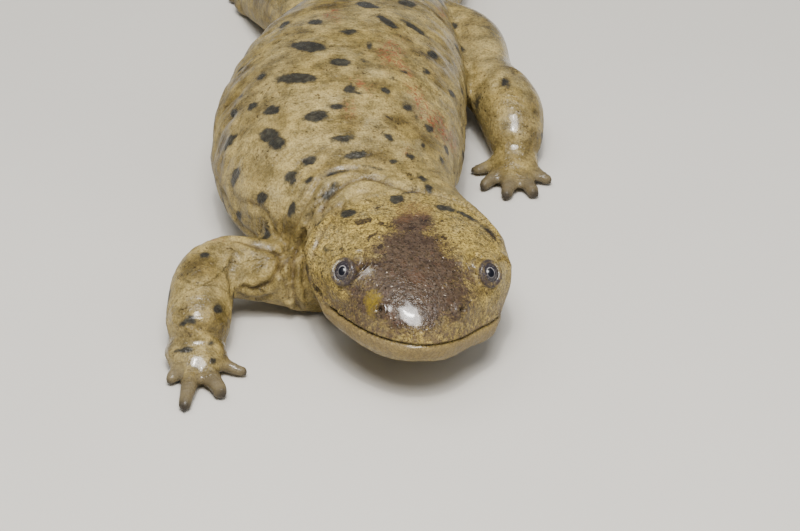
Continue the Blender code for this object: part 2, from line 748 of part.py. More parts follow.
def main():
    """Model the skin, part it and add the eyes."""
    pieces = [body_form()]
    for limb in LIMBS:
        pieces += limb_forms(limb)
    skin = join_in_skin(pieces)
    soften_roots(skin)
    shape_details(skin)
    make_trunk_cutters()
    make_mouth_cutter()
    for limb in LIMBS:
        make_limb_cutters(limb)
    make_floor_cutter()
    eyes = []
    for side, way in (("right", -1), ("left", 1)):
        eye = head_point(EYE_AT, way * EYE_OUT, EYE_RISE)
        cutter(side + "_socket", ball("socket", eye, EYE_RADIUS + CUT))
        eyes.append(ball(side + "_eye", eye, EYE_RADIUS))
        nostril = head_point(NOSTRIL_AT, way * NOSTRIL_OUT, NOSTRIL_RISE)
        cutter(side + "_nostril", ball("nostril", nostril, NOSTRIL_RADIUS, 8))
    mesh, parts = part_skin(skin)
    flesh = finish("moist olive skin", SKIN_COLOUR, 0.35)
    glass = finish("dark eye", EYE_COLOUR, 0.08)
    centres = []
    for part in parts:
        low = Vector([min(v.co[i] for v in part) for i in range(3)]) / MM
        high = Vector([max(v.co[i] for v in part) for i in range(3)]) / MM
        centres.append((low, high, len(part)))
    for name, place in markers().items():
        best = min(
            (i for i in range(len(parts)) if centres[i][2] > 30),
            key=lambda i: (place - 0.5 * (centres[i][0] + centres[i][1])).length)
        made = piece_object(name, mesh, parts[best])
        thin_out(made, BUDGET.get(name, LIMB_BUDGET))
        made.data.materials.append(flesh)
        bpy.context.scene.collection.objects.unlink(made)
        MODEL.objects.link(made)
    mesh.free()
    bpy.data.objects.remove(skin, do_unlink=True)
    for eye in eyes:
        eye.data.materials.append(glass)
        bpy.context.scene.collection.objects.unlink(eye)
        MODEL.objects.link(eye)


main()
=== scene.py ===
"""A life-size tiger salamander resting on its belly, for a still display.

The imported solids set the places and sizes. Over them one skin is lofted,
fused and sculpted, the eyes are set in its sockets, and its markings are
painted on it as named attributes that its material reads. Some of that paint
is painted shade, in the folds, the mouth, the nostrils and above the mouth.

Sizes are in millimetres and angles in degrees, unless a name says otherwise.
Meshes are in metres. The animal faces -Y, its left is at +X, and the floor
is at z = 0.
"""

from __future__ import annotations

import logging
import math
from dataclasses import dataclass
from enum import Enum
from functools import cached_property

import bmesh
import bpy
import numpy as np
from mathutils import Matrix, Vector, noise
from mathutils.bvhtree import BVHTree
from numpy.typing import ArrayLike

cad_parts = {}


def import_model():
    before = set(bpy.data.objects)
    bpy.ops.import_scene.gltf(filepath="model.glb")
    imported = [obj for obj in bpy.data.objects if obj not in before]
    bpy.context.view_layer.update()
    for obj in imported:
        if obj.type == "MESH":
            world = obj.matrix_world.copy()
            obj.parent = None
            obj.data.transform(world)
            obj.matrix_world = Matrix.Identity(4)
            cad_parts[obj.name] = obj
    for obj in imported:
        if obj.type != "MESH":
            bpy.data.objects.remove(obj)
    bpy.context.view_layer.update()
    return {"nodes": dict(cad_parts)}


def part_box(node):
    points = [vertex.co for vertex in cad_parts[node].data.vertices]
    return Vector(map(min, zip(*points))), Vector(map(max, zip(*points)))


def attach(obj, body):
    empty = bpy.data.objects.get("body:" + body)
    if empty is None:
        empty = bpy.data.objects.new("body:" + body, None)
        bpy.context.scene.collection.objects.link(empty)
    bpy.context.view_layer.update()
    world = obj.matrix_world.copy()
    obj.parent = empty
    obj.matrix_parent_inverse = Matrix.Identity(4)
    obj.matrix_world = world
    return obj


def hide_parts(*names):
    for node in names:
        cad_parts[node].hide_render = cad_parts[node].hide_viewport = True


MM = 0.001
TUBE_STEP = 0.7
TUBE_LEAST_RINGS = 8
TUBE_END_SHARE = 0.985
ROWS_AT_ONCE = 20000
LOG = logging.getLogger("salamander")
Socket = bpy.types.NodeSocket


class Side(Enum):
    """The animal's own sides, as the sign of their place across the body."""

    LEFT = 1
    RIGHT = -1


class Blend(Enum):
    """Ways to lay one colour over another."""

    COVER = "MIX"
    DARKEN = "MULTIPLY"


def curve_through(keys: ArrayLike, values: ArrayLike, at: ArrayLike) -> np.ndarray:
    """Read a smooth curve through given values.

    Args:
        keys: where the values stand, in rising order.
        values: a number or a point for each key.
        at: the places to read.

    Returns:
        A value for each place, held at the ends beyond the first and last key.
    """
    keys = np.asarray(keys, float)
    values = np.asarray(values, float)
    at = np.clip(np.asarray(at, float), keys[0], keys[-1])
    steps = np.diff(keys)
    rise = (np.diff(values, axis=0).T / steps).T
    slopes = np.empty_like(values)
    slopes[0] = rise[0]
    slopes[-1] = rise[-1]
    lead = steps[:-1] / (steps[:-1] + steps[1:])
    slopes[1:-1] = ((1.0 - lead) * rise[:-1].T + lead * rise[1:].T).T
    index = np.clip(np.searchsorted(keys, at, side="right") - 1, 0, len(steps) - 1)
    width = steps[index]
    u = (at - keys[index]) / width
    if values.ndim > 1:
        u = u[..., None]
        width = width[..., None]
    return ((2 * u ** 3 - 3 * u ** 2 + 1) * values[index]
            + (u ** 3 - 2 * u ** 2 + u) * width * slopes[index]
            + (3 * u ** 2 - 2 * u ** 3) * values[index + 1]
            + (u ** 3 - u ** 2) * width * slopes[index + 1])


def lengths_along(points: ArrayLike) -> np.ndarray:
    """Return how far along a line of points each one lies."""
    steps = np.linalg.norm(np.diff(np.asarray(points, float), axis=0), axis=1)
    return np.concatenate(([0.0], np.cumsum(steps)))


def ease(value: ArrayLike, low: float, high: float) -> np.ndarray:
    """Return 0 below low and 1 above high, with a smooth rise between."""
    u = np.clip((np.asarray(value, float) - low) / (high - low), 0.0, 1.0)
    return u * u * (3.0 - 2.0 * u)


def fade(distance: ArrayLike, reach: float) -> np.ndarray:
    """Return 1 at no distance, falling smoothly to 0 at reach."""
    return 1.0 - ease(distance, 0.0, reach)


def hump(distance: ArrayLike, width: float) -> np.ndarray:
    """Return 1 at no distance, falling away as a bell of the given width."""
    return np.exp(-(np.asarray(distance, float) / width) ** 2)


def ripple(points: np.ndarray, size: float, shift: float = 0.0) -> np.ndarray:
    """Return smooth noise between -1 and 1, whose lumps are about size across.

    Args:
        points: where to read it, one row each.
        size: the distance over which it changes.
        shift: moves the pattern, so that two uses differ.
    """
    scaled = points / size + shift
    return np.array([noise.noise(place) for place in scaled.tolist()])


def away_from(points: np.ndarray, place: ArrayLike) -> np.ndarray:
    """Return how far each point is from one place."""
    return np.linalg.norm(points - np.array(place), axis=1)


def make_object(name: str, mesh: bmesh.types.BMesh) -> bpy.types.Object:
    """Turn a bmesh into an object in the scene, and free the bmesh."""
    data = bpy.data.meshes.new(name)
    mesh.to_mesh(data)
    mesh.free()
    thing = bpy.data.objects.new(name, data)
    bpy.context.scene.collection.objects.link(thing)
    return thing


def keep_values(thing: bpy.types.Object, name: str, values: np.ndarray) -> None:
    """Keep a value, or a vector, for each vertex under a name that a material reads."""
    kind, part = ("FLOAT", "value") if values.ndim == 1 else ("FLOAT_VECTOR", "vector")
    layer = thing.data.attributes.new(name, kind, "POINT")
    layer.data.foreach_set(part, values.astype(np.float32).ravel())


def linear(red: float, green: float, blue: float) -> tuple[float, float, float, float]:
    """Turn a screen colour, in parts of 255, into the shaders' linear colour."""
    return (*(((part / 255.0 + 0.055) / 1.055) ** 2.4 for part in (red, green, blue)), 1.0)


@dataclass(frozen=True)
class Viewpoint:
    """Where the camera stands, and how it turns places into the picture's pixels."""

    target: tuple[float, float, float] = (8.5, -40.0, 12.0)
    elevation: float = 33.0
    distance: float = 380.0
    lens: float = 127.4
    sensor: float = 36.0
    picture: tuple[int, int] = (800, 531)

    @cached_property
    def forward(self) -> Vector:
        """The way the camera looks."""
        tilt = math.radians(self.elevation)
        return Vector((0.0, math.cos(tilt), -math.sin(tilt)))

    @cached_property
    def up(self) -> Vector:
        """The picture's upward direction."""
        tilt = math.radians(self.elevation)
        return Vector((0.0, math.sin(tilt), math.cos(tilt)))

    @cached_property
    def place(self) -> Vector:
        """The lens, in millimetres."""
        return Vector(self.target) - self.distance * self.forward

    @cached_property
    def focal(self) -> float:
        """The focal length in pixels."""
        return self.lens / self.sensor * self.picture[0]

    def ray(self, x: float, y: float) -> Vector:
        """Return the direction in which the camera sees a pixel."""
        across = (float(x) - 0.5 * self.picture[0]) / self.focal
        over = (0.5 * self.picture[1] - float(y)) / self.focal
        return (self.forward + across * Vector((1.0, 0.0, 0.0)) + over * self.up).normalized()

    def pixels(self, points: np.ndarray) -> np.ndarray:
        """Return the pixel that each place falls on."""
        offset = points - np.array(self.place)
        depth = offset @ np.array(self.forward)
        across = 0.5 * self.picture[0] + self.focal * offset[:, 0] / depth
        over = 0.5 * self.picture[1] - self.focal * (offset @ np.array(self.up)) / depth
        return np.stack((across, over), axis=1)

    def make_camera(self) -> bpy.types.Object:
        """Put the camera in the scene."""
        data = bpy.data.cameras.new("camera")
        data.lens = self.lens
        data.sensor_width = self.sensor
        data.clip_start = 0.01
        camera = bpy.data.objects.new("camera", data)
        camera.location = self.place * MM
        camera.rotation_euler = self.forward.to_track_quat("-Z", "Y").to_euler()
        bpy.context.scene.collection.objects.link(camera)
        bpy.context.scene.camera = camera
        return camera


@dataclass(frozen=True)
class Section:
    """One cross-section of neck, trunk or tail, at a distance behind the snout."""

    at: float
    half_width: float
    top: float
    bottom: float
    widest: float
    top_power: float


@dataclass(frozen=True)
class Trunk:
    """Head, trunk and tail: sections along a middle line that bends sideways."""

    head_length: float = 25.0
    head_half_width: float = 13.5
    head_widest_at: float = 17.5
    mouth_height: float = 10.5
    tip_rise: float = 0.8
    crown_rise: float = 8.5
    crown_at: float = 20.0
    throat_drop: float = 5.6
    throat_at: float = 16.0
    roll: float = -5.1
    mouth_corner_at: float = 11.0
    mouth_drop_right: float = 0.65
    mouth_drop_left: float = 1.4
    mouth_front_rise: float = 0.3
    jaw_power: float = 4.2
    jaw_power_drop: float = 1.95
    roll_ends_at: float = 40.0
    roll_fades_over: float = 14.0
    nose_rings: int = 16
    ring_step: float = 1.6
    total_length: float = 190.0
    ring_points: int = 48
    spine: tuple[tuple[float, float], ...] = (
        (11.4, -57.3), (10.1, -45.9), (7.9, -32.3), (3.2, -23.3), (0.4, -15.6), (-0.5, -8.0),
        (0.0, 0.0), (2.5, 15.0), (7.2, 34.0), (11.5, 46.5), (14.4, 59.0), (15.6, 72.0),
        (14.6, 87.0), (11.8, 101.0), (9.7, 114.0), (10.6, 127.5),
    )
    sections: tuple[Section, ...] = (
        Section(26.0, 11.9, 19.1, 5.0, 12.2, 2.3),
        Section(30.0, 11.7, 19.7, 4.2, 11.9, 2.3),
        Section(34.0, 13.5, 20.7, 2.7, 11.4, 2.25),
        Section(39.0, 15.8, 22.1, 1.0, 10.7, 2.2),
        Section(45.0, 17.3, 23.4, -0.05, 10.2, 2.2),
        Section(55.0, 18.2, 24.5, -0.3, 9.9, 2.2),
        Section(66.0, 17.5, 24.3, -0.3, 9.8, 2.2),
        Section(76.0, 15.9, 22.9, -0.3, 9.5, 2.2),
        Section(86.0, 13.2, 20.5, -0.1, 9.0, 2.15),
        Section(93.0, 10.4, 18.4, 0.5, 8.8, 2.05),
        Section(99.0, 8.4, 17.0, 0.6, 8.3, 1.95),
        Section(106.0, 7.0, 16.0, 0.1, 7.6, 1.85),
        Section(120.0, 5.5, 14.6, -0.25, 6.4, 1.7),
        Section(140.0, 4.1, 12.2, -0.25, 5.2, 1.6),
        Section(160.0, 2.9, 9.0, -0.25, 3.8, 1.6),
        Section(178.0, 1.8, 5.4, -0.25, 2.3, 1.7),
        Section(187.0, 1.0, 2.9, -0.2, 1.3, 2.0),
    )

    @cached_property
    def spine_keys(self) -> np.ndarray:
        """How far behind the snout each point of the middle line lies."""
        keys = lengths_along(self.spine)
        return keys * self.total_length / keys[-1]

    def middle(self, at: ArrayLike) -> tuple[np.ndarray, np.ndarray, np.ndarray]:
        """Return the middle line's place, its backward direction and its left."""
        at = np.asarray(at, float)
        place = curve_through(self.spine_keys, self.spine, at)
        back = (curve_through(self.spine_keys, self.spine, at + 0.5)
                - curve_through(self.spine_keys, self.spine, at - 0.5))
        back = back / np.linalg.norm(back, axis=-1, keepdims=True)
        left = np.stack((back[..., 1], -back[..., 0]), axis=-1)
        return place, back, left

    def front_sizes(self, at: np.ndarray) -> np.ndarray:
        """Return the sizes of the head's front, which rounds off into the snout."""
        tip = self.mouth_height + self.tip_rise

        def rounding(length: float, bluntness: float, power: float) -> np.ndarray:
            """Return a rise from 0 at the tip to 1 at a length behind it."""
            u = np.clip(at / length, 0.0, 1.0)
            return (1.0 - (1.0 - u) ** bluntness) ** power

        return np.stack((
            self.head_half_width * rounding(self.head_widest_at, 1.3, 0.55),
            tip + (self.crown_rise - self.tip_rise) * rounding(self.crown_at, 2.0, 0.62),
            tip - (self.throat_drop + self.tip_rise) * rounding(self.throat_at, 2.0, 0.28),
            tip - 0.5 + 0.09 * at,
            np.full_like(at, 2.3)), axis=-1)

    def sizes(self, at: ArrayLike) -> np.ndarray:
        """Return half width, top, bottom, widest height and top power at each place."""
        at = np.asarray(at, float)
        behind = self.head_widest_at + np.array((-3.0, 0.0, 4.0))
        nose = np.column_stack((behind, self.front_sizes(behind)))
        nose[-1, 1] = self.head_half_width - 0.4
        rest = np.array([[s.at, s.half_width, s.top, s.bottom, s.widest, s.top_power]
                         for s in self.sections])
        table = np.vstack((nose, rest))
        sizes = curve_through(table[:, 0], table[:, 1:], at)
        front = (at < self.head_widest_at)[..., None]
        return np.where(front, self.front_sizes(at), sizes)

    def outline(self, at: float, angles: np.ndarray) -> np.ndarray:
        """Return the points of one section.

        Args:
            at: how far behind the snout it lies.
            angles: where round it the points lie, from the left side upwards.
        """
        half_width, top, bottom, widest, top_power = self.sizes(np.float64(at))
        cos, sin = np.cos(angles), np.sin(angles)
        jaw_power = self.jaw_power - self.jaw_power_drop * min(1.0, at / self.head_length)
        power = np.where(sin > 0.0, top_power, jaw_power)
        out = half_width * np.sign(cos) * np.abs(cos) ** (2.0 / power)
        height = np.where(sin > 0.0, top - widest, widest - bottom)
        up = height * np.sign(sin) * np.abs(sin) ** (2.0 / power)
        rolled = (self.roll_ends_at - at) / self.roll_fades_over
        roll = math.radians(self.roll) * min(1.0, max(0.0, rolled))
        place, _, left = self.middle(at)
        points = np.empty((len(angles), 3))
        points[:, :2] = place + (out * math.cos(roll) - up * math.sin(roll))[:, None] * left
        points[:, 2] = widest + out * math.sin(roll) + up * math.cos(roll)
        return points

    @cached_property
    def head_axes(self) -> tuple[Vector, Vector, Vector, Vector]:
        """The snout's tip, and the head's backward, left and upward directions."""
        snout = Vector((*self.spine[0], self.mouth_height + self.tip_rise))
        back = (Vector((*self.spine[1], snout.z)) - snout).normalized()
        level = Vector((back.y, -back.x, 0.0))
        roll = math.radians(self.roll)
        upright = Vector((0.0, 0.0, 1.0))
        left = math.cos(roll) * level + math.sin(roll) * upright
        up = math.cos(roll) * upright - math.sin(roll) * level
        return snout, back, left, up

    def head_place(self, at: float, out: float, rise: float) -> Vector:
        """Turn a place in the head's own frame into the animal's."""
        snout, back, left, up = self.head_axes
        return snout + at * back + out * left + (rise - self.tip_rise) * up

    def in_head(self, points: np.ndarray) -> np.ndarray:
        """Turn places into the head's own frame: back, left, and up from the mouth."""
        snout, back, left, up = (np.array(axis) for axis in self.head_axes)
        offset = points - snout
        return np.stack((offset @ back, offset @ left, offset @ up + self.tip_rise), axis=1)

    def above_mouth(self, points: np.ndarray) -> np.ndarray:
        """Return how far above the line of the mouth each place is."""
        place = self.in_head(points)
        at = np.clip(place[:, 0], 0.0, None)
        drop = np.where(place[:, 1] < 0.0, self.mouth_drop_right, self.mouth_drop_left)
        line = self.mouth_front_rise * hump(at, 2.0) - drop * at / self.mouth_corner_at
        return place[:, 2] - line

    def along(self, points: np.ndarray) -> tuple[np.ndarray, np.ndarray]:
        """Return how far behind the snout each place is, and how far to the left."""
        keys = np.arange(0.0, self.total_length, 0.5)
        place, _, left = self.middle(keys)
        nearest = np.empty(len(points), int)
        for start in range(0, len(points), ROWS_AT_ONCE):
            rows = slice(start, start + ROWS_AT_ONCE)
            apart = points[rows, None, :2] - place[None]
            nearest[rows] = np.argmin(np.sum(apart ** 2, axis=2), axis=1)
        offset = points[:, :2] - place[nearest]
        back = np.stack((-left[nearest][:, 1], left[nearest][:, 0]), axis=1)
        return (keys[nearest] + np.sum(offset * back, axis=1),
                np.sum(offset * left[nearest], axis=1))

    def build(self, mesh: bmesh.types.BMesh) -> None:
        """Loft the head, trunk and tail as one closed tube."""
        turns = np.linspace(0.06, 0.5 * math.pi, self.nose_rings)
        nose = self.head_widest_at * (1.0 - np.cos(turns))
        rest = np.arange(nose[-1] + self.ring_step, self.total_length - 2.0, self.ring_step)
        loops = []
        for at in np.concatenate((nose, rest)):
            made = bmesh.ops.create_circle(mesh, segments=self.ring_points, radius=1.0)["verts"]
            loops.append(list({edge for vertex in made for edge in vertex.link_edges}))
            angles = np.array([math.atan2(vertex.co.y, vertex.co.x) for vertex in made])
            for vertex, point in zip(made, self.outline(at, angles)):
                vertex.co = Vector(point) * MM
        join_loops(mesh, loops)


def join_loops(mesh: bmesh.types.BMesh, loops: list[list[bmesh.types.BMEdge]]) -> None:
    """Skin a row of edge loops into a tube and close its ends."""
    for near, far in zip(loops, loops[1:]):
        bmesh.ops.bridge_loops(mesh, edges=near + far)
    for end in (loops[0], loops[-1]):
        bmesh.ops.contextual_create(mesh, geom=end)


def build_tube(mesh: bmesh.types.BMesh, line: ArrayLike, radii: ArrayLike,
               flatten: float = 1.0, sides: int = 20) -> None:
    """Loft a round limb or digit with a rounded end.

    Args:
        mesh: takes the tube.
        line: a few points of its middle line.
        radii: its thickness at those points.
        flatten: its height as a share of its width.
        sides: how many points go round it.
    """
    keys = lengths_along(line)
    count = max(TUBE_LEAST_RINGS, int(keys[-1] / TUBE_STEP))
    at = np.linspace(0.0, keys[-1], count)
    places = curve_through(keys, line, at)
    thick = curve_through(keys, radii, at)
    end = thick[-1]
    beyond = np.clip((at - (keys[-1] - end)) / end, 0.0, TUBE_END_SHARE)
    thick = thick * np.sqrt(1.0 - beyond ** 2)
    loops = []
    for i, place in enumerate(places):
        run = Vector(places[min(i + 1, count - 1)] - places[max(i - 1, 0)]).normalized()
        across = run.cross(Vector((0.0, 0.0, 1.0)))
        if across.length < 0.2:
            across = Vector((1.0, 0.0, 0.0))
        across.normalize()
        over = across.cross(run).normalized()
        size = float(thick[i]) * MM
        matrix = Matrix((across * size, over * size * flatten, run)).transposed().to_4x4()
        matrix.translation = Vector(place) * MM
        made = bmesh.ops.create_circle(mesh, segments=sides, radius=1.0, matrix=matrix)["verts"]
        loops.append(list({edge for vertex in made for edge in vertex.link_edges}))
    join_loops(mesh, loops)


@dataclass(frozen=True)
class Digit:
    """A finger or toe: its heading from straight ahead, its reach and thickness."""

    heading: float
    reach: float
    radius: float


@dataclass(frozen=True)
class Limb:
    """A limb's middle line, its thickness there, and the fan of its digits."""

    name: str
    side: Side
    root: tuple[float, float, float]
    joint: tuple[float, float, float]
    wrist: tuple[float, float, float]
    palm: tuple[float, float, float]
    radii: tuple[float, ...]
    palm_radius: float
    forward: float
    digits: tuple[Digit, ...]
    via: tuple[tuple[float, float, float], ...] = ()
    palm_half_height: float = 2.3

    @cached_property
    def line(self) -> tuple[tuple[float, float, float], ...]:
        """The limb's middle line, from its root to the palm."""
        return (self.root, *self.via, self.joint, self.wrist, self.palm)

    @cached_property
    def joint_at(self) -> float:
        """How far down its line the elbow or knee lies."""
        return float(lengths_along((self.root, *self.via, self.joint))[-1])

    def digit_line(self, digit: Digit) -> tuple[Vector, ...]:
        """Return the middle line of a digit, from inside the palm to its tip."""
        heading = math.radians(self.forward + digit.heading)
        ahead = Vector((-math.sin(heading), -math.cos(heading), 0.0))
        palm = Vector(self.palm)
        lift = digit.radius * 0.82
        knuckle = palm + ahead * (digit.reach * 0.45)
        bend = palm + ahead * (digit.reach * 0.72)
        tip = palm + ahead * digit.reach
        knuckle.z = lift + 0.75
        bend.z = lift + 0.35
        tip.z = lift
        return (palm + ahead * 1.2, knuckle, bend, tip)

    def build(self, mesh: bmesh.types.BMesh) -> None:
        """Loft the limb, its palm and its digits."""
        build_tube(mesh, self.line, self.radii)
        size = Matrix.Diagonal((self.palm_radius, self.palm_radius, self.palm_half_height, 1.0))
        place = Matrix.Translation(Vector(self.palm) * MM)
        bmesh.ops.create_uvsphere(mesh, u_segments=20, v_segments=12, radius=1.0,
                                  matrix=place @ Matrix.Scale(MM, 4) @ size)
        for digit in self.digits:
            radius = digit.radius
            build_tube(mesh, self.digit_line(digit),
                       (radius * 1.15, radius * 1.15, radius, radius * 0.92), 0.9, 12)

    def near_line(self, points: np.ndarray) -> tuple[np.ndarray, np.ndarray]:
        """Return how far each place is from the limb's bones, and how far down them."""
        line = np.array(self.line)
        keys = lengths_along(line)
        away = np.full(len(points), np.inf)
        down = np.zeros(len(points))
        for start, end, key in zip(line, line[1:], keys):
            run = end - start
            share = np.clip((points - start) @ run / (run @ run), 0.0, 1.0)
            here = np.linalg.norm(points - start - share[:, None] * run, axis=1)
            down = np.where(here < away, key + share * np.linalg.norm(run), down)
            away = np.minimum(away, here)
        return away, down

    def down_digits(self, points: np.ndarray) -> np.ndarray:
        """Return how far out along its digit each place is, from 0 to 1 at the tip."""
        share = np.zeros(len(points))
        for digit in self.digits:
            line = self.digit_line(digit)
            start = np.array(line[0])
            run = np.array(line[-1]) - start
            along = np.clip((points - start) @ run / (run @ run), 0.0, 1.15)
            away = np.linalg.norm(points - start - along[:, None] * run, axis=1)
            near = away < digit.radius * 2.0
            share = np.where(near, np.maximum(share, np.minimum(along, 1.0)), share)
        return share


RIGHT_FINGERS = (
    Digit(36.0, 6.4, 1.05), Digit(5.0, 11.2, 1.1), Digit(-27.0, 9.5, 1.2), Digit(-69.0, 7.9, 0.95),
)
LEFT_FINGERS = (
    Digit(62.0, 7.4, 0.95), Digit(24.0, 9.6, 1.1), Digit(-6.0, 9.8, 1.1), Digit(-42.0, 7.0, 1.0),
)
LEFT_TOES = (
    Digit(84.0, 6.8, 0.95), Digit(42.0, 7.9, 1.05), Digit(10.0, 8.9, 1.1), Digit(-20.0, 8.8, 1.1),
    Digit(-54.0, 7.2, 1.0),
)
RIGHT_TOES = (
    Digit(-76.0, 6.6, 0.95), Digit(-40.0, 8.2, 1.05), Digit(-10.0, 9.4, 1.1), Digit(18.0, 9.2, 1.1),
    Digit(50.0, 7.2, 1.0),
)
RIGHT_ARM = Limb("right_arm", Side.RIGHT, (-1.0, -32.0, 4.3), (-17.7, -35.4, 7.3),
                 (-18.7, -43.4, 4.5), (-18.9, -46.6, 2.4), (4.6, 4.3, 4.4, 3.9), 4.3, 0.0,
                 RIGHT_FINGERS)
LEFT_ARM = Limb("left_arm", Side.LEFT, (9.5, -22.5, 6.0), (18.3, -23.8, 4.1),
                (18.4, -30.4, 2.8), (17.9, -33.2, 1.8), (3.7, 3.1, 2.7, 2.5), 3.3, 20.0,
                LEFT_FINGERS)
LEFT_LEG = Limb("left_leg", Side.LEFT, (12.6, 37.0, 8.5), (25.2, 10.8, 5.8), (25.7, 6.6, 3.6),
                (25.5, 3.8, 2.0), (4.0, 4.2, 4.4, 5.0, 4.1, 3.3), 3.8, 0.0, LEFT_TOES,
                ((19.8, 31.0, 8.0), (21.8, 20.0, 7.0)))
RIGHT_LEG = Limb("right_leg", Side.RIGHT, (-1.0, 30.0, 9.0), (-9.4, 43.0, 6.8),
                 (-13.6, 52.0, 3.8), (-15.0, 54.8, 2.0), (6.0, 4.8, 4.0, 3.3), 3.8, 205.0,
                 RIGHT_TOES)
LIMBS = (RIGHT_ARM, LEFT_ARM, LEFT_LEG, RIGHT_LEG)


@dataclass(frozen=True)
class Swelling:
    """A rounded rise of the head, by its middle in the head's own frame."""

    at: float
    out: float
    rise: float
    height: float
    reach: float

    def lift(self, points: np.ndarray, trunk: Trunk) -> np.ndarray:
        """Return how far it lifts each place."""
        middle = trunk.head_place(self.at, self.out, self.rise)
        return self.height * fade(away_from(points, middle), self.reach)


EYE_MOUNDS = (Swelling(10.0, -9.4, 4.9, 1.35, 5.3), Swelling(10.0, 9.4, 4.9, 1.35, 5.3))
CHEEKS = (Swelling(18.5, -12.0, 3.0, 0.4, 5.0), Swelling(18.5, 12.0, 3.0, 0.4, 5.0))
JAW_LOBES = (Swelling(14.0, -12.6, 3.2, 0.7, 3.4), Swelling(14.0, 12.6, 3.2, 0.3, 3.4))
BROWS = (Swelling(10.4, -7.4, 6.6, 0.5, 2.3), Swelling(10.4, 7.4, 6.6, 0.5, 2.3))
LEFT_JOWL = Swelling(8.8, 10.2, -2.4, 1.15, 5.5)
LEFT_JAW_JOINT = Swelling(13.5, 12.0, 0.6, 1.1, 6.0)
NOSTRILS = (Swelling(3.8, -5.4, 3.45, 0.35, 1.8), Swelling(3.8, 5.4, 3.45, 0.35, 1.8))
HEAD_SWELLINGS = (*EYE_MOUNDS, *CHEEKS, *JAW_LOBES, *BROWS, LEFT_JOWL, LEFT_JAW_JOINT, *NOSTRILS)


class Surface:
    """A skin's shape while it is worked on, and what the camera sees of it."""

    def __init__(self, thing: bpy.types.Object, view: Viewpoint) -> None:
        """Read an object's mesh.

        Args:
            thing: the object.
            view: where the camera stands.
        """
        self.thing = thing
        self.view = view
        self.reread()

    def reread(self) -> None:
        """Read the places and normals of the mesh again."""
        data = self.thing.data
        flat = np.empty(len(data.vertices) * 3)
        data.vertices.foreach_get("co", flat)
        self.points = flat.reshape(-1, 3) / MM
        flat = np.empty(len(data.vertices) * 3)
        data.vertex_normals.foreach_get("vector", flat)
        self.normals = flat.reshape(-1, 3)

    def write(self) -> None:
        """Put the places back in the mesh and read its new normals."""
        self.thing.data.vertices.foreach_set("co", (self.points * MM).ravel())
        self.thing.data.update()
        self.reread()

    def freeze_sight(self) -> None:
        """Keep the present shape as the one that pixels are cast on."""
        data = self.thing.data
        faces = [tuple(face.vertices) for face in data.polygons]
        self.sight = BVHTree.FromPolygons([Vector(point) for point in self.points], faces)

    def seen_at(self, x: float, y: float) -> tuple[Vector, Vector] | None:
        """Return the place and normal of the skin that covers a pixel, if any does."""
        place, normal, _, _ = self.sight.ray_cast(self.view.place, self.view.ray(x, y))
        return None if place is None else (place, normal)

    def shows(self, point: np.ndarray, slack: float = 1.5) -> bool:
        """Say whether the camera sees a place, or one within slack of it."""
        x, y = self.view.pixels(point[None])[0]
        width, height = self.view.picture
        if not (0.0 < x < width and 0.0 < y < height):
            return False
        found = self.seen_at(x, y)
        return found is not None and (found[0] - Vector(point)).length < slack

    def cast_line(self, line: ArrayLike, step: float = 2.5) -> np.ndarray:
        """Lay a smooth line of pixels on the skin.

        Args:
            line: a few pixels on it.
            step: how many pixels apart it is read.

        Returns:
            The places on the skin, one row each.
        """
        keys = lengths_along(line)
        count = max(2, int(keys[-1] / step))
        pixels = curve_through(keys, line, np.linspace(0.0, keys[-1], count))
        found = [self.seen_at(x, y) for x, y in pixels]
        return np.array([place for place, _ in filter(None, found)])


@dataclass(frozen=True)
class Crease:
    """A fold pressed into the skin along a line of pixels."""

    line: tuple[tuple[float, float], ...]
    depth: float
    width: float

    def distance(self, surface: Surface, line: np.ndarray) -> np.ndarray:
        """Return how far each place of the skin is from the fold's line."""
        reach = 6.0 * self.width
        low, high = line.min(axis=0) - reach, line.max(axis=0) + reach
        close = np.all((surface.points > low) & (surface.points < high), axis=1)
        away = np.full(len(surface.points), 1e3)
        part = surface.points[close]
        best = np.full(len(part), 1e3)
        for start, end in zip(line, line[1:]):
            run = end - start
            share = np.clip((part - start) @ run / max(run @ run, 1e-9), 0.0, 1.0)
            best = np.minimum(best, np.linalg.norm(part - start - share[:, None] * run, axis=1))
        away[close] = best
        return away


HEAD_CREASES = (
    Crease(((341, 206), (330, 219.7), (318.4, 238), (313.4, 250), (310.5, 263.4), (311, 275),
            (315, 286.3), (321, 294)), 0.6, 0.42),
    Crease(((312.5, 256.5), (318, 253.8), (325.2, 255.3), (331, 259.5)), 0.42, 0.3),
    Crease(((320.4, 211), (325.5, 201), (338, 188), (351, 180), (370, 177.4), (389, 183),
            (408.4, 189.5), (427.5, 192), (446.7, 197.2), (465.8, 206), (484, 219), (497, 234)),
           0.5, 0.5),
    Crease(((329.3, 211.2), (342, 203.6), (355, 193.4), (375, 191)), 0.28, 0.35),
    Crease(((356, 252.5), (362, 252.1), (366.5, 256), (367.8, 262), (363, 269), (357, 274)),
           0.6, 0.27),
    Crease(((481, 256.5), (475, 254.5), (469, 256.5), (465.8, 261), (467.5, 268), (474.6, 273.5)),
           0.6, 0.27),
    Crease(((325, 307), (330, 308), (336.5, 311.5)), 0.25, 0.35),
    Crease(((497, 259.5), (503, 257.5), (508.5, 263)), 0.42, 0.3),
    Crease(((311.5, 293), (316, 304.7), (321, 312)), 0.3, 0.5),
)
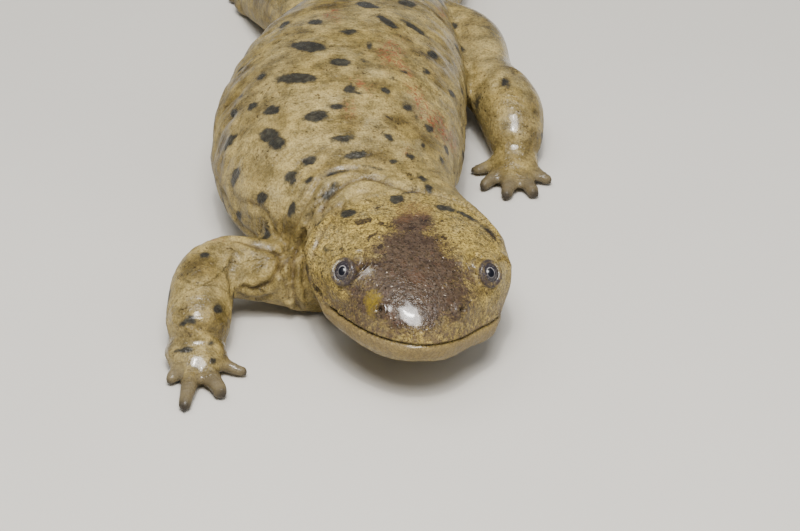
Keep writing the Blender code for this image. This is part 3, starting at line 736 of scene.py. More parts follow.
NECK_CREASES = (
    Crease(((322, 178), (332, 171.7), (351, 169.1), (368, 171)), 0.3, 0.45),
    Crease(((304.6, 231.2), (300, 239.2), (295.5, 252), (294, 263.4), (294, 275), (293, 285),
            (294.5, 296), (299, 311)), 0.6, 0.42),
    Crease(((322, 222), (316, 229), (311.5, 240.4), (307, 251.9), (304, 266), (303, 282),
            (306, 297)), 0.42, 0.4),
    Crease(((318, 183), (311, 195), (303, 208), (296, 222), (289, 240), (286, 256)), 0.34, 0.45),
    Crease(((330, 186), (322, 197), (313, 210), (306, 222)), 0.3, 0.35),
    Crease(((286, 262), (277, 272.5), (270, 283), (261, 287.5), (251.7, 289.8), (243, 287)),
           0.6, 0.4),
    Crease(((280.5, 257.6), (279.3, 270.2), (286.2, 285.2), (289, 300)), 0.42, 0.38),
    Crease(((236, 291), (246, 297), (258, 299), (270, 296)), 0.3, 0.4),
    Crease(((284, 243), (287, 256), (291, 268), (290, 280)), 0.35, 0.4),
    Crease(((228, 178), (232, 192), (240, 203), (250, 204)), 0.25, 0.5),
    Crease(((222, 192), (229, 206), (240, 224), (255, 236)), 0.3, 0.55),
    Crease(((250, 205), (262, 209), (270, 222), (276, 238)), 0.25, 0.5),
)
LIMB_CREASES = (
    Crease(((229, 238.5), (242, 241), (255, 245), (271, 250), (280, 256)), 0.5, 0.5),
    Crease(((231, 298), (231, 284), (229, 271), (233, 259)), 0.32, 0.45),
    Crease(((193, 324), (204, 330), (216, 336), (225, 341)), 0.22, 0.35),
    Crease(((176, 318), (186, 324), (196, 332)), 0.16, 0.35),
    Crease(((232, 262), (243, 272), (247, 284)), 0.14, 0.35),
    Crease(((186, 246), (197, 251), (210, 249)), 0.2, 0.4),
    Crease(((515, 72), (506, 78), (497, 86)), 0.35, 0.7),
    Crease(((503, 138), (516, 143), (530, 141)), 0.25, 0.5),
)


@dataclass(frozen=True)
class Mark:
    """A patch of colour, placed by the pixel that its middle covers.

    Width and height are as the camera sees them, before the patch leans; a
    positive lean raises its right end.
    """

    x: float
    y: float
    width: float
    height: float
    lean: float = 0.0

    def lay(self, surface: Surface) -> LaidMark | None:
        """Lay the patch on the skin, on the plane that touches it there."""
        found = surface.seen_at(self.x, self.y)
        if found is None:
            return None
        view = surface.view
        middle, normal = found
        toward = (view.place - middle).normalized()
        facing = (normal + 0.25 * toward).normalized()
        scale = view.focal / (view.place - middle).length
        lean = math.radians(self.lean)
        arms = []
        for size, angle in ((self.width, lean), (self.height, lean + 0.5 * math.pi)):
            reach = 0.5 * size * scale
            ray = view.ray(self.x + reach * math.cos(angle), self.y - reach * math.sin(angle))
            run = (middle - view.place).dot(facing) / ray.dot(facing)
            arms.append(view.place + run * ray - middle)
        return LaidMark(middle, normal, arms[0], arms[1])


@dataclass(frozen=True)
class LaidMark:
    """A patch of colour on the skin, by its middle, normal and two half axes."""

    middle: Vector
    normal: Vector
    across: Vector
    along: Vector

    def distance(self, points: np.ndarray) -> np.ndarray:
        """Return how far outside the patch's rim each place is; inside is negative."""
        offset = points - np.array(self.middle)
        arms = np.array((self.across, self.along)).T
        share = offset @ np.linalg.pinv(arms).T
        size = max(self.across.length, self.along.length)
        height = offset @ np.array(self.normal) / (0.8 * size + 0.8)
        spread = np.sqrt(np.sum(share ** 2, axis=1) + height ** 2)
        return (spread - 1.0) * min(self.across.length, self.along.length)


BACK_SPOTS = (
    Mark(308, 46, 5.8, 1.9, -12), Mark(296, 78, 6.6, 1.8, -3), Mark(340, 62, 3.0, 1.4, -5),
    Mark(252, 106, 1.7, 1.2, 30), Mark(272, 110, 2.2, 1.6, 15), Mark(316, 116, 3.8, 1.9, 8),
    Mark(350, 89, 1.8, 1.5), Mark(359, 93, 1.8, 0.7, -20), Mark(269, 135, 3.2, 2.2, -10),
    Mark(276, 142, 3.0, 2.1, -35), Mark(229, 142, 3.2, 1.2, 50), Mark(309, 160, 2.2, 1.4, 25),
    Mark(357, 155, 3.6, 1.2, 8), Mark(343, 139, 3.1, 1.2, 3), Mark(236, 173, 2.0, 1.5, 40),
    Mark(233, 181, 1.8, 1.1, 70), Mark(291, 176, 2.4, 1.5, 40), Mark(293, 180, 1.3, 1.6),
    # The thin mark at (335, 172) is painted shade along a fold behind the head.
    Mark(310, 179, 1.3, 0.8, 40), Mark(335, 172, 3.2, 0.5, 15), Mark(261.5, 198, 2.1, 1.6, 40),
    Mark(291.6, 210, 2.2, 1.2, 62), Mark(239, 216, 1.8, 0.9, 85), Mark(267, 236, 2.3, 1.0, 68),
    Mark(330, 191, 3.0, 1.1, 48), Mark(308, 269, 2.0, 0.7, 78), Mark(234, 113, 1.3, 1.3),
    Mark(240, 96, 0.8, 0.6), Mark(386, 91, 1.6, 1.0, -30), Mark(408, 107, 1.8, 1.2, -30),
    Mark(389.5, 137.5, 1.8, 0.8, -30), Mark(429.6, 128.3, 1.5, 1.1, -50),
    Mark(410.4, 156, 1.5, 1.0, -35), Mark(422, 178, 1.9, 0.9, -42), Mark(428, 187, 1.7, 1.0, -65),
    Mark(442, 161, 1.2, 0.7, -70), Mark(451.6, 93.7, 1.3, 0.9, -50),
    Mark(432.4, 54.5, 1.8, 1.2, -30), Mark(425.7, 71.7, 1.6, 0.9, -40),
    Mark(462, 48, 1.3, 0.8, -60), Mark(453.5, 25, 1.4, 0.9, -60), Mark(467.8, 5, 3.0, 1.3, -35),
    Mark(415, 28, 4.8, 1.1, -35), Mark(386.5, 21, 4.2, 1.3, -38), Mark(366.4, 4.8, 3.7, 1.4, -15),
    Mark(407.6, 3, 3.0, 1.5), Mark(349, 31.6, 2.8, 1.0), Mark(369.3, 46, 1.1, 1.3),
    Mark(366, 61, 1.3, 0.6, -20), Mark(284, 25, 1.9, 1.2, 40), Mark(337, 106.5, 2.5, 1.0),
    Mark(374, 168, 2.4, 0.6, -12), Mark(446.8, 150, 1.4, 0.7, -75), Mark(394, 161, 1.3, 0.7),
    Mark(423.8, 146.4, 1.1, 0.6, -50), Mark(418, 117.7, 0.8, 0.5, -40),
    Mark(392, 77.5, 1.5, 0.6, -30), Mark(404, 72, 1.2, 0.5, -20), Mark(389, 117, 1.8, 0.5, -30),
    Mark(316, 22, 2.6, 1.1, -10), Mark(262, 76, 1.5, 1.0, 45),
)
HEAD_SPOTS = (
    Mark(347.7, 213.3, 2.3, 1.3, 20), Mark(397, 199, 2.2, 1.6, 12), Mark(409, 192, 2.2, 0.7, 14),
    Mark(446, 208, 2.8, 1.1, -8), Mark(467, 216, 3.0, 0.8, -28), Mark(487, 230, 2.6, 0.6, -45),
    Mark(327, 250, 1.1, 0.8, -10),
)
LIMB_SPOTS = (
    Mark(205, 254, 1.4, 1.0, 10), Mark(218, 308, 1.4, 1.2), Mark(187, 322, 2.0, 0.9, 12),
    Mark(191, 318, 0.7, 1.0, 60), Mark(184, 350, 2.3, 0.9, 8), Mark(212, 343, 0.8, 0.5, 10),
    Mark(214, 361, 1.1, 0.9), Mark(506, 82, 1.2, 2.2, 5),
)
CROWN_STAIN = (
    Mark(414, 224, 6.2, 3.6), Mark(411, 247, 10.2, 5.4), Mark(415, 271, 15.2, 6.0),
    Mark(415, 296, 17.4, 7.2, 2), Mark(358, 297, 3.0, 4.4, 5), Mark(370, 262, 3.6, 1.6, 12),
    Mark(411, 318, 9.6, 3.4),
)
CROWN_CRACKS = (
    Mark(361.5, 221.5, 1.8, 0.9, 5), Mark(369, 220, 0.9, 0.7), Mark(381, 224, 1.0, 0.7, -20),
    Mark(389, 226.5, 0.9, 0.6), Mark(372, 236, 2.4, 0.6, 40), Mark(380, 246, 0.9, 0.8),
    Mark(342, 247, 0.35, 1.3), Mark(356, 249, 0.6, 0.4), Mark(367, 199.8, 1.6, 0.35, -15),
    Mark(379, 207, 1.0, 0.3, 25), Mark(411, 228, 1.4, 0.4, 40), Mark(359, 273, 0.45, 2.4, -28),
    Mark(366, 266.5, 1.4, 0.45, 30), Mark(378, 263.5, 2.4, 0.35, 8), Mark(441.8, 221, 0.6, 0.4),
    Mark(444, 238, 1.4, 0.6, -25), Mark(453, 242.5, 0.5, 0.4), Mark(460, 243, 0.4, 0.4),
    # The mark at (493, 237) is painted shade in the fold at the back of the head.
    Mark(493, 237, 2.4, 0.4, -52), Mark(424, 221, 0.9, 0.3, 10),
)
GOLD_PATCH = (Mark(371.5, 304, 1.6, 3.2, 5), Mark(377, 299, 1.2, 1.6))
ORANGE_PATCH = (Mark(418, 279, 1.6, 1.4), Mark(415, 209, 5.0, 2.4), Mark(404, 218, 2.0, 1.6))
BLUSH = (
    Mark(392, 52, 3.4, 5.0, -15), Mark(404, 68, 3.6, 1.6, -45), Mark(419, 97, 4.6, 2.0, -55),
    Mark(436, 122, 7.0, 3.0, -56), Mark(452, 142, 3.6, 1.8, -80), Mark(332, 15, 2.4, 2.8, 60),
    Mark(349, 108, 1.8, 2.0), Mark(362, 84, 2.6, 1.2, -30), Mark(408, 153, 1.0, 0.8),
    Mark(442, 12, 2.2, 2.2, -30), Mark(215, 239, 2.0, 0.7, 8),
)
PATCHES = {"stain": CROWN_STAIN, "crack": CROWN_CRACKS, "gold": GOLD_PATCH,
           "orange": ORANGE_PATCH, "blush": BLUSH}


@dataclass(frozen=True)
class Scatter:
    """Dark spots strewn by chance over what the photograph doesn't show."""

    count: int = 150
    seed: int = 7
    spacing: float = 5.4
    longest: float = 5.2
    shortest: float = 1.6
    nape: float = 24.0

    def lay(self, surface: Surface, taken: list[LaidMark], trunk: Trunk) -> list[LaidMark]:
        """Strew the spots, clear of those that are there.

        Args:
            surface: the skin.
            taken: spots that are already placed.
            trunk: gives the direction of the body.

        Returns:
            The new spots.
        """
        draw = np.random.default_rng(self.seed)
        at, _ = trunk.along(surface.points)
        upper = (surface.normals[:, 2] > -0.35) & (surface.points[:, 2] > 1.6) & (at > self.nape)
        choices = np.flatnonzero(upper)
        centres = [np.array(mark.middle) for mark in taken]
        laid = []
        for index in draw.permutation(choices):
            point = surface.points[index]
            gap = self.spacing * draw.uniform(0.75, 1.35)
            if centres and np.min(np.linalg.norm(np.array(centres) - point, axis=1)) < gap:
                continue
            normal = Vector(surface.normals[index])
            _, back, _ = trunk.middle(at[index])
            around = Vector((*back, 0.0)).cross(normal).normalized()
            turn = Matrix.Rotation(draw.uniform(-0.6, 0.6), 3, normal)
            small = min(1.0, float(surface.points[index][2]) / 9.0 + 0.35)
            size = 0.5 * small * self.longest * draw.uniform(0.34, 1.0)
            size = max(size, 0.5 * self.shortest * small)
            across = turn @ around * size
            along = normal.cross(across).normalized() * size * draw.uniform(0.38, 0.8)
            rim = [Vector(point) + way for way in (across, -across, along, -along)]
            if any(surface.shows(np.array(place)) for place in (point, *rim)):
                continue
            laid.append(LaidMark(Vector(point), normal, across, along))
            centres.append(point)
            if len(laid) == self.count:
                break
        return laid


@dataclass
class Eye:
    """One eye: its ball in a socket with lids, looking outward and up."""

    side: Side
    trunk: Trunk
    view: Viewpoint
    rim_angle: float = 46.0
    lid_angle: float = 14.0
    thicker: float = 11.0
    lid_rise: float = 0.40
    tuck: float = 0.45
    blend_angle: float = 26.0
    narrowing: float = 1.55
    lengthening: float = 0.90
    groove_beyond: float = 13.0
    groove_width: float = 6.0
    groove_depth: float = 0.22

    def __post_init__(self) -> None:
        """Read the eye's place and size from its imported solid, and set where it looks."""
        self.name = self.side.name.lower() + "_eye"
        low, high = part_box(self.name)
        self.centre = 0.5 * (low + high) / MM
        self.radius = 0.5 * (high.z - low.z) / MM
        _, back, left, up = self.trunk.head_axes
        out = left * self.side.value
        self.gaze = (-self.view.forward + 0.30 * out + 0.28 * up).normalized()
        self.opening = (-0.30 * back + 0.78 * out + 0.56 * up).normalized()
        self.opening = (self.opening + 0.9 * self.gaze).normalized()
        self.opening = (self.opening - 0.22 * out).normalized()
        upward = self.view.up
        self.tall = (upward - upward.dot(self.opening) * self.opening).normalized()
        self.nose_side = (-0.8 * out - 0.6 * self.tall).normalized()

    def angle_from_opening(self, points: np.ndarray) -> tuple[np.ndarray, np.ndarray]:
        """Return each place's angle from the middle of the opening, and its distance.

        Beyond the rim the angles are drawn out towards the nose, where the lid is thicker.
        """
        offset = points - np.array(self.centre)
        forward = offset @ np.array(self.opening)
        over = offset @ np.array(self.tall)
        across = offset @ np.array(self.tall.cross(self.opening))
        aside = np.hypot(across * self.narrowing, over * self.lengthening)
        angle = np.degrees(np.arctan2(aside, forward))
        inward = np.clip(self.toward_nose(points), 0.0, 1.0)
        angle -= self.thicker * inward * ease(angle, self.rim_angle, self.rim_angle + 12.0)
        return angle, np.linalg.norm(offset, axis=1)

    def toward_nose(self, points: np.ndarray) -> np.ndarray:
        """Return from -1 to 1 how much each place lies below and towards the nose."""
        offset = points - np.array(self.centre)
        opening = np.array(self.opening)
        sideways = offset - (offset @ opening)[:, None] * opening
        length = np.maximum(np.linalg.norm(sideways, axis=1), 1e-6)
        return sideways @ np.array(self.nose_side) / length

    def shape_lids(self, surface: Surface) -> None:
        """Press the socket into the skin and roll the lids round the ball."""
        angle, away = self.angle_from_opening(surface.points)
        rim, crest = self.rim_angle, self.rim_angle + self.lid_angle
        end = crest + self.blend_angle
        near = (away < 2.6 * self.radius) & (angle < end)
        inside = self.radius - self.tuck
        top = self.radius + self.lid_rise
        target = inside + (top - inside) * ease(angle, rim - 7.0, rim + 6.0)
        target = np.where(angle > rim + 6.0, top, target)
        share = 1.0 - ease(angle, crest, end)
        wanted = share * target + (1.0 - share) * away
        wanted -= self.groove_depth * hump(angle - crest - self.groove_beyond, self.groove_width)
        scale = np.where(near, wanted / np.maximum(away, 1e-6), 1.0)
        centre = np.array(self.centre)
        surface.points = centre + (surface.points - centre) * scale[:, None]
        surface.write()

    def groove(self, points: np.ndarray) -> np.ndarray:
        """Return where the groove round the lids is, from 0 to 1."""
        angle, away = self.angle_from_opening(points)
        crest = self.rim_angle + self.lid_angle
        return (hump(angle - crest - self.groove_beyond, self.groove_width)
                * fade(away - 2.2 * self.radius, 0.4))

    def lid_mask(self, points: np.ndarray) -> np.ndarray:
        """Return where the lids are, from 0 to 1."""
        angle, away = self.angle_from_opening(points)
        crest = self.rim_angle + self.lid_angle
        return (ease(angle, self.rim_angle - 14.0, self.rim_angle - 6.0)
                * (1.0 - ease(angle, crest - 4.0, crest + 8.0)) * fade(away - 2.2 * self.radius, 0.4)
                * (0.3 + 0.7 * ease(self.toward_nose(points), -0.95, -0.45)))

    def build(self, finish: EyeFinish) -> bpy.types.Object:
        """Make the ball with its domed cornea, turned to where it looks."""
        mesh = bmesh.new()
        bmesh.ops.create_uvsphere(mesh, u_segments=64, v_segments=48, radius=1.0)
        plain = np.array([vertex.co for vertex in mesh.verts])
        tilt = np.degrees(np.arccos(np.clip(plain[:, 2], -1.0, 1.0)))
        dome = 1.0 + 0.07 * fade(tilt - 10.0, 34.0)
        for vertex, bulge in zip(mesh.verts, dome):
            vertex.co *= float(bulge)
        upright = Vector((0.0, 0.0, 1.0))
        over = (upright - upright.dot(self.gaze) * self.gaze).normalized()
        across = over.cross(self.gaze)
        turn = Matrix((across, over, self.gaze)).transposed().to_4x4()
        place = Matrix.Translation(self.centre * MM) @ turn @ Matrix.Scale(self.radius * MM, 4)
        bmesh.ops.transform(mesh, matrix=place, verts=mesh.verts)
        for face in mesh.faces:
            face.smooth = True
        ball = make_object(self.name + "_ball", mesh)
        keep_values(ball, "look", plain)
        ball.data.materials.append(finish.material())
        return ball


@dataclass
class Skin:
    """The one skin over all the flesh, from the lofts to the last mark."""

    trunk: Trunk
    limbs: tuple[Limb, ...]
    view: Viewpoint
    voxel: float = 0.64
    soften_rounds: int = 10
    soften_factor: float = 0.55
    soft_everywhere: float = 0.22
    soft_palm: float = 0.14
    root_reach: float = 9.0
    palm_reach: float = 12.0
    fine_head_to: float = 27.0
    fine_nape_to: float = 40.0
    fine_arm_reach: float = 7.0
    fine_palm_reach: float = 12.5
    fine_mouth: float = 0.75
    fine_eye: float = 3.9
    fine_nostril: float = 1.3
    collar_at: float = 26.5
    collar_depth: float = 0.7
    lip_below: float = 1.5
    lip_half_height: float = 1.1
    lip_swell: float = 0.5
    costal_first: float = 46.0
    costal_last: float = 88.0
    costal_count: int = 12
    costal_depth: float = 0.42
    neck_fold_spacing: float = 1.9
    neck_fold_depth: float = 0.30
    trunk_fold_spacing: float = 1.7
    trunk_fold_depth: float = 0.2
    lump_size: float = 3.1
    lump_depth: float = 0.30
    pucker_size: float = 1.3
    pucker_depth: float = 0.045
    limb_ring_spacing: float = 1.3
    limb_ring_depth: float = 0.16
    slit_half_height: float = 0.15
    slit_depth: float = 0.5
    # The strength of the painted shade in the mouth's slit.
    slit_shade: float = 0.4
    nostril_radius: float = 0.36
    nostril_depth: float = 0.75
    wet_snout: tuple[float, float, float] = (2.5, -1.5, 3.5)
    wet_reach: float = 11.0
    wet_head: float = 0.25
    wet_body: float = 0.55
    wet_limb: float = 0.85
    wet_lid: float = 0.3

    def fuse(self) -> None:
        """Loft every part and fuse them into one even mesh."""
        mesh = bmesh.new()
        self.trunk.build(mesh)
        for limb in self.limbs:
            limb.build(mesh)
        bmesh.ops.recalc_face_normals(mesh, faces=mesh.faces)
        self.thing = make_object("skin", mesh)
        remesh = self.thing.modifiers.new("fuse", "REMESH")
        remesh.mode = "VOXEL"
        remesh.voxel_size = self.voxel * MM
        graph = bpy.context.evaluated_depsgraph_get()
        made = bpy.data.meshes.new_from_object(self.thing.evaluated_get(graph))
        self.thing.modifiers.clear()
        self.thing.data = made
        self.surface = Surface(self.thing, self.view)

    def relax(self, weight: np.ndarray, rounds: int, factor: float) -> None:
        """Smooth the mesh, more rounds where the weight is higher.

        Args:
            weight: from 0 to 1 for each vertex.
            rounds: how many rounds a full weight gets.
            factor: how far each round moves a vertex to its neighbours' middle.
        """
        mesh = bmesh.new()
        mesh.from_mesh(self.thing.data)
        mesh.verts.ensure_lookup_table()
        for number in range(rounds):
            chosen = np.flatnonzero(weight * rounds > number + 0.5)
            if len(chosen) == 0:
                break
            bmesh.ops.smooth_vert(mesh, verts=[mesh.verts[i] for i in chosen], factor=factor,
                                  use_axis_x=True, use_axis_y=True, use_axis_z=True)
        mesh.to_mesh(self.thing.data)
        mesh.free()
        self.surface.reread()

    def soften(self) -> None:
        """Blend each limb into the trunk and round its bends."""
        points = self.surface.points
        weight = np.full(len(points), self.soft_everywhere)
        for limb in self.limbs:
            root, joint = np.array(limb.root), np.array(limb.joint)
            near_root = root + 0.62 * (joint - root)
            weight = np.maximum(weight, fade(away_from(points, near_root), self.root_reach))
            on_palm = away_from(points, limb.palm) < self.palm_reach
            weight = np.where(on_palm, self.soft_palm, weight)
        self.relax(weight, self.soften_rounds, self.soften_factor)

    def refine(self, zone: np.ndarray) -> None:
        """Halve the faces whose corners all lie in a zone, and even them out."""
        mesh = bmesh.new()
        mesh.from_mesh(self.thing.data)
        mesh.faces.ensure_lookup_table()
        old = len(mesh.verts)
        edges = list({edge for face in mesh.faces
                      if all(zone[vertex.index] for vertex in face.verts)
                      for edge in face.edges})
        bmesh.ops.subdivide_edges(mesh, edges=edges, cuts=1, use_grid_fill=True)
        bmesh.ops.triangulate(mesh, faces=[face for face in mesh.faces if len(face.verts) > 4])
        near = {vertex for vertex in mesh.verts if vertex.index >= old or vertex.index < 0}
        near |= {edge.other_vert(vertex) for vertex in near for edge in vertex.link_edges}
        for _ in range(2):
            bmesh.ops.smooth_vert(mesh, verts=list(near), factor=0.5, use_axis_x=True,
                                  use_axis_y=True, use_axis_z=True)
        mesh.to_mesh(self.thing.data)
        mesh.free()
        self.surface.reread()

    def refine_front(self) -> None:
        """Give the head, the nape and the right arm a finer mesh."""
        points = self.surface.points
        at, _ = self.trunk.along(points)
        arm, _ = RIGHT_ARM.near_line(points)
        palm = away_from(points, RIGHT_ARM.palm)
        fine = (at < self.fine_head_to) & (points[:, 2] > 3.0)
        fine |= (at < self.fine_nape_to) & (points[:, 2] > 6.0)
        fine |= (arm < self.fine_arm_reach) & (points[:, 0] < -5.0)
        fine |= palm < self.fine_palm_reach
        self.refine(fine)

    def refine_face(self, eyes: tuple[Eye, ...]) -> None:
        """Give the eyes, the nostrils and the mouth the finest mesh."""
        points = self.surface.points
        fine = np.abs(self.trunk.above_mouth(points)) < self.fine_mouth
        fine &= self.trunk.in_head(points)[:, 0] < self.trunk.mouth_corner_at + 1.5
        for eye in eyes:
            fine |= away_from(points, eye.centre) < self.fine_eye
        for nostril in self.nostrils():
            fine |= away_from(points, nostril) < self.fine_nostril
        self.refine(fine)

    def nostrils(self) -> tuple[Vector, ...]:
        """Return where the two nostrils open."""
        return tuple(self.trunk.head_place(hole.at, hole.out, hole.rise) for hole in NOSTRILS)

    def swell(self) -> None:
        """Raise and sink the main forms of the trunk and the head."""
        surface, trunk = self.surface, self.trunk
        points = surface.points
        at, out = trunk.along(points)
        half_width = trunk.sizes(at)[:, 0]
        on_trunk = fade(np.clip(np.abs(out) - half_width - 0.5, 0.0, None), 1.0)
        side = np.clip(np.abs(out) / half_width, 0.0, 1.0) ** 2
        spacing = (self.costal_last - self.costal_first) / self.costal_count
        wander = 0.35 * ripple(points, 9.0, 4.0)
        wave = np.abs(np.sin(math.pi * ((at - self.costal_first) / spacing + wander))) ** 0.6 - 0.6
        middle = 0.5 * (self.costal_first + self.costal_last)
        rise = self.costal_depth * wave * side * fade(np.abs(at - middle) - 17.0, 7.0) * on_trunk
        low = np.clip((17.5 - points[:, 2]) / 8.0, 0.0, 1.0)
        rise -= self.collar_depth * hump(at - self.collar_at, 1.5) * low * on_trunk
        rise += sum(swelling.lift(points, trunk) for swelling in HEAD_SWELLINGS)
        below = -trunk.above_mouth(points)
        lip = hump(below - self.lip_below, self.lip_half_height)
        lip *= fade(at - trunk.mouth_corner_at, 4.0)
        rise += self.lip_swell * lip * np.clip(0.35 + at / 9.0, 0.0, 1.0)
        surface.points = points + surface.normals * rise[:, None]
        surface.write()

    def neck_folds(self, at: np.ndarray, patchy: np.ndarray) -> np.ndarray:
        """Return how deep the loose rings of the neck are pressed in."""
        points = self.surface.points
        warp = 0.55 * ripple(points, 5.5, 11.0) + 0.2 * ripple(points, 2.0, 3.0)
        fold = 1.0 - np.abs(np.sin(math.pi * (at / self.neck_fold_spacing + warp)))
        neck = ease(at, 22.5, 25.5) * (1.0 - ease(at, 33.0, 44.0))
        return self.neck_fold_depth * neck * patchy * fold ** 3

    def trunk_folds(self, at: np.ndarray, aside: np.ndarray, patchy: np.ndarray,
                    warp: np.ndarray) -> np.ndarray:
        """Return how deep the fine folds of trunk and tail lie, less the flank's lumps.

        Args:
            at: how far behind the snout each place is.
            aside: how far out it is, as a share of the half width.
            patchy: how strong the folds are there.
            warp: how far they wander.
        """
        points = self.surface.points
        thin = 1.0 - np.abs(np.sin(math.pi * (at / self.trunk_fold_spacing + warp)))
        upper = ease(self.surface.normals[:, 2], -0.2, 0.4)
        front = 0.6 + 0.8 * (1.0 - ease(at, 55.0, 80.0))
        flank = ease(aside, 0.35, 0.8) * (1.0 - ease(at, 60.0, 95.0))
        folds = self.trunk_fold_depth * thin ** 3 * patchy * upper * front
        lumps = self.lump_depth * flank * ripple(points, self.lump_size, 15.0)
        return (folds - lumps) * ease(at, 36.0, 44.0) * (1.0 - ease(at, 150.0, 180.0))

    def limb_rings(self, limb: Limb, warp: np.ndarray) -> np.ndarray:
        """Return how deep the fine rings lie inside a limb's bends."""
        away, down = limb.near_line(self.surface.points)
        on_limb = fade(np.clip(away - max(limb.radii), 0.0, None), 1.5)
        past_joint = down - limb.joint_at
        bend = hump(past_joint, 2.6) + 0.8 * hump(past_joint - 8.0, 2.0)
        rings = (1.0 - np.abs(np.sin(math.pi * (down / self.limb_ring_spacing + warp)))) ** 3
        return self.limb_ring_depth * on_limb * bend * rings

    def wrinkle(self) -> None:
        """Work the loose skin of neck, flanks, limbs and tail."""
        surface, trunk = self.surface, self.trunk
        points = surface.points
        at, out = trunk.along(points)
        half_width = trunk.sizes(at)[:, 0]
        on_trunk = fade(np.clip(np.abs(out) - half_width - 1.0, 0.0, None), 1.5)
        patchy = 0.5 + 0.5 * ease(ripple(points, 4.5, 20.0), -0.3, 0.35)
        warp = 0.5 * ripple(points, 7.0, 31.0) + 0.25 * ripple(points, 2.6, 9.0)
        depth = self.neck_folds(at, patchy) * on_trunk
        depth += self.trunk_folds(at, np.abs(out) / half_width, patchy, warp) * on_trunk
        depth -= self.pucker_depth * ripple(points, self.pucker_size, 50.0)
        for limb in self.limbs:
            depth += self.limb_rings(limb, warp) * (1.0 - on_trunk)
        surface.points = points - surface.normals * depth[:, None]
        surface.write()
        # The folds' hollows get painted shade, darker where they are deeper.
        self.folds = np.clip(depth * 2.2, 0.0, 1.0)

    def crease(self) -> None:
        """Press in the folds that the photograph shows."""
        surface = self.surface
        depth = np.zeros(len(surface.points))
        for crease in HEAD_CREASES + NECK_CREASES + LIMB_CREASES:
            line = surface.cast_line(crease.line)
            if len(line) < 2:
                continue
            away = crease.distance(surface, line)
            depth += crease.depth * (hump(away, crease.width)
                                     - 0.35 * hump(away - 2.3 * crease.width, crease.width))
            # Along each crease the skin also gets painted shade.
            self.folds = np.maximum(self.folds, hump(away, 0.8 * crease.width)
                                    * min(1.0, crease.depth / 0.5))
        surface.points = surface.points - surface.normals * depth[:, None]
        surface.write()

    def open_face(self) -> None:
        """Part the lips and sink the nostrils."""
        surface, trunk = self.surface, self.trunk
        points = surface.points
        place = trunk.in_head(points)
        front = 1.0 - ease(place[:, 0], trunk.mouth_corner_at - 1.2, trunk.mouth_corner_at + 0.4)
        level = trunk.above_mouth(points)
        # The slit's mask also sets the painted shade along the mouth.
        self.slit = hump(level, self.slit_half_height) * front
        depth = self.slit_depth * self.slit
        depth -= 0.14 * hump(level - 0.5, 0.35) * front
        depth -= 0.16 * hump(level + 0.7, 0.4) * front
        # The nostril pits get painted shade.
        self.nostril_shade = np.zeros(len(points))
        for hole in self.nostrils():
            nearest = points[np.argmin(away_from(points, hole))]
            away = away_from(points, nearest)
            pit = hump(away, self.nostril_radius)
            depth += self.nostril_depth * pit - 0.1 * hump(away - 0.8, 0.35)
            self.nostril_shade = np.maximum(self.nostril_shade, pit)
        surface.points = points - surface.normals * depth[:, None]
        surface.write()

    def rest_on_floor(self) -> None:
        """Flatten what would reach below the floor."""
        self.surface.points[:, 2] = np.maximum(self.surface.points[:, 2], 0.0)
        self.surface.write()

    def sculpt(self, eyes: tuple[Eye, ...]) -> None:
        """Shape the whole skin, from the first loft to the lips and lids."""
        self.fuse()
        self.soften()
        self.refine_front()
        self.swell()
        self.refine_face(eyes)
        self.surface.freeze_sight()
        self.wrinkle()
        self.crease()
        for eye in eyes:
            eye.shape_lids(self.surface)
            # The groove round the lids gets painted shade too.
            self.folds = np.maximum(self.folds, 0.8 * eye.groove(self.surface.points))
        self.open_face()
        self.rest_on_floor()

    def store(self, name: str, values: np.ndarray) -> None:
        """Keep a value, or a vector, for each vertex of the skin."""
        keep_values(self.thing, name, values)

    def paint_marks(self) -> None:
        """Keep how far each place is outside the spots and the painted patches."""
        surface = self.surface

        def nearest(marks: list[LaidMark]) -> np.ndarray:
            """Return how far outside the nearest of some patches each place is."""
            best = np.full(len(surface.points), 9.0)
            for mark in marks:
                best = np.minimum(best, mark.distance(surface.points))
            return best

        def laid(marks: tuple[Mark, ...]) -> list[LaidMark]:
            """Lay those of some patches that fall on the skin."""
            return [mark for mark in (row.lay(surface) for row in marks) if mark is not None]

        spots = laid(BACK_SPOTS + HEAD_SPOTS + LIMB_SPOTS)
        spots += Scatter().lay(surface, spots, self.trunk)
        self.store("spot", nearest(spots))
        for name, marks in PATCHES.items():
            self.store(name, nearest(laid(marks)))

    def wetness(self, at: np.ndarray, head: np.ndarray, lids: np.ndarray) -> np.ndarray:
        """Return how moist the skin is, least where it faces down."""
        surface = self.surface
        points = surface.points
        snout = self.trunk.head_place(*self.wet_snout)
        wet = np.maximum(fade(away_from(points, snout), self.wet_reach), self.wet_head * head)
        damp = ease(ripple(points, 7.0, 40.0), -0.5, 0.4)
        nape = ease(at, 20.0, 24.0) * (1.0 - ease(at, 32.0, 42.0))
        wet = np.maximum(wet, self.wet_body * (1.0 - head) * (1.0 - 0.8 * nape) * damp)
        for limb in (RIGHT_ARM, LEFT_LEG):
            away, _ = limb.near_line(points)
            wet = np.maximum(wet, self.wet_limb * fade(away - 3.0, 5.0) * (1.0 - nape))
        return np.maximum(wet, self.wet_lid * lids) * ease(surface.normals[:, 2], 0.05, 0.6)

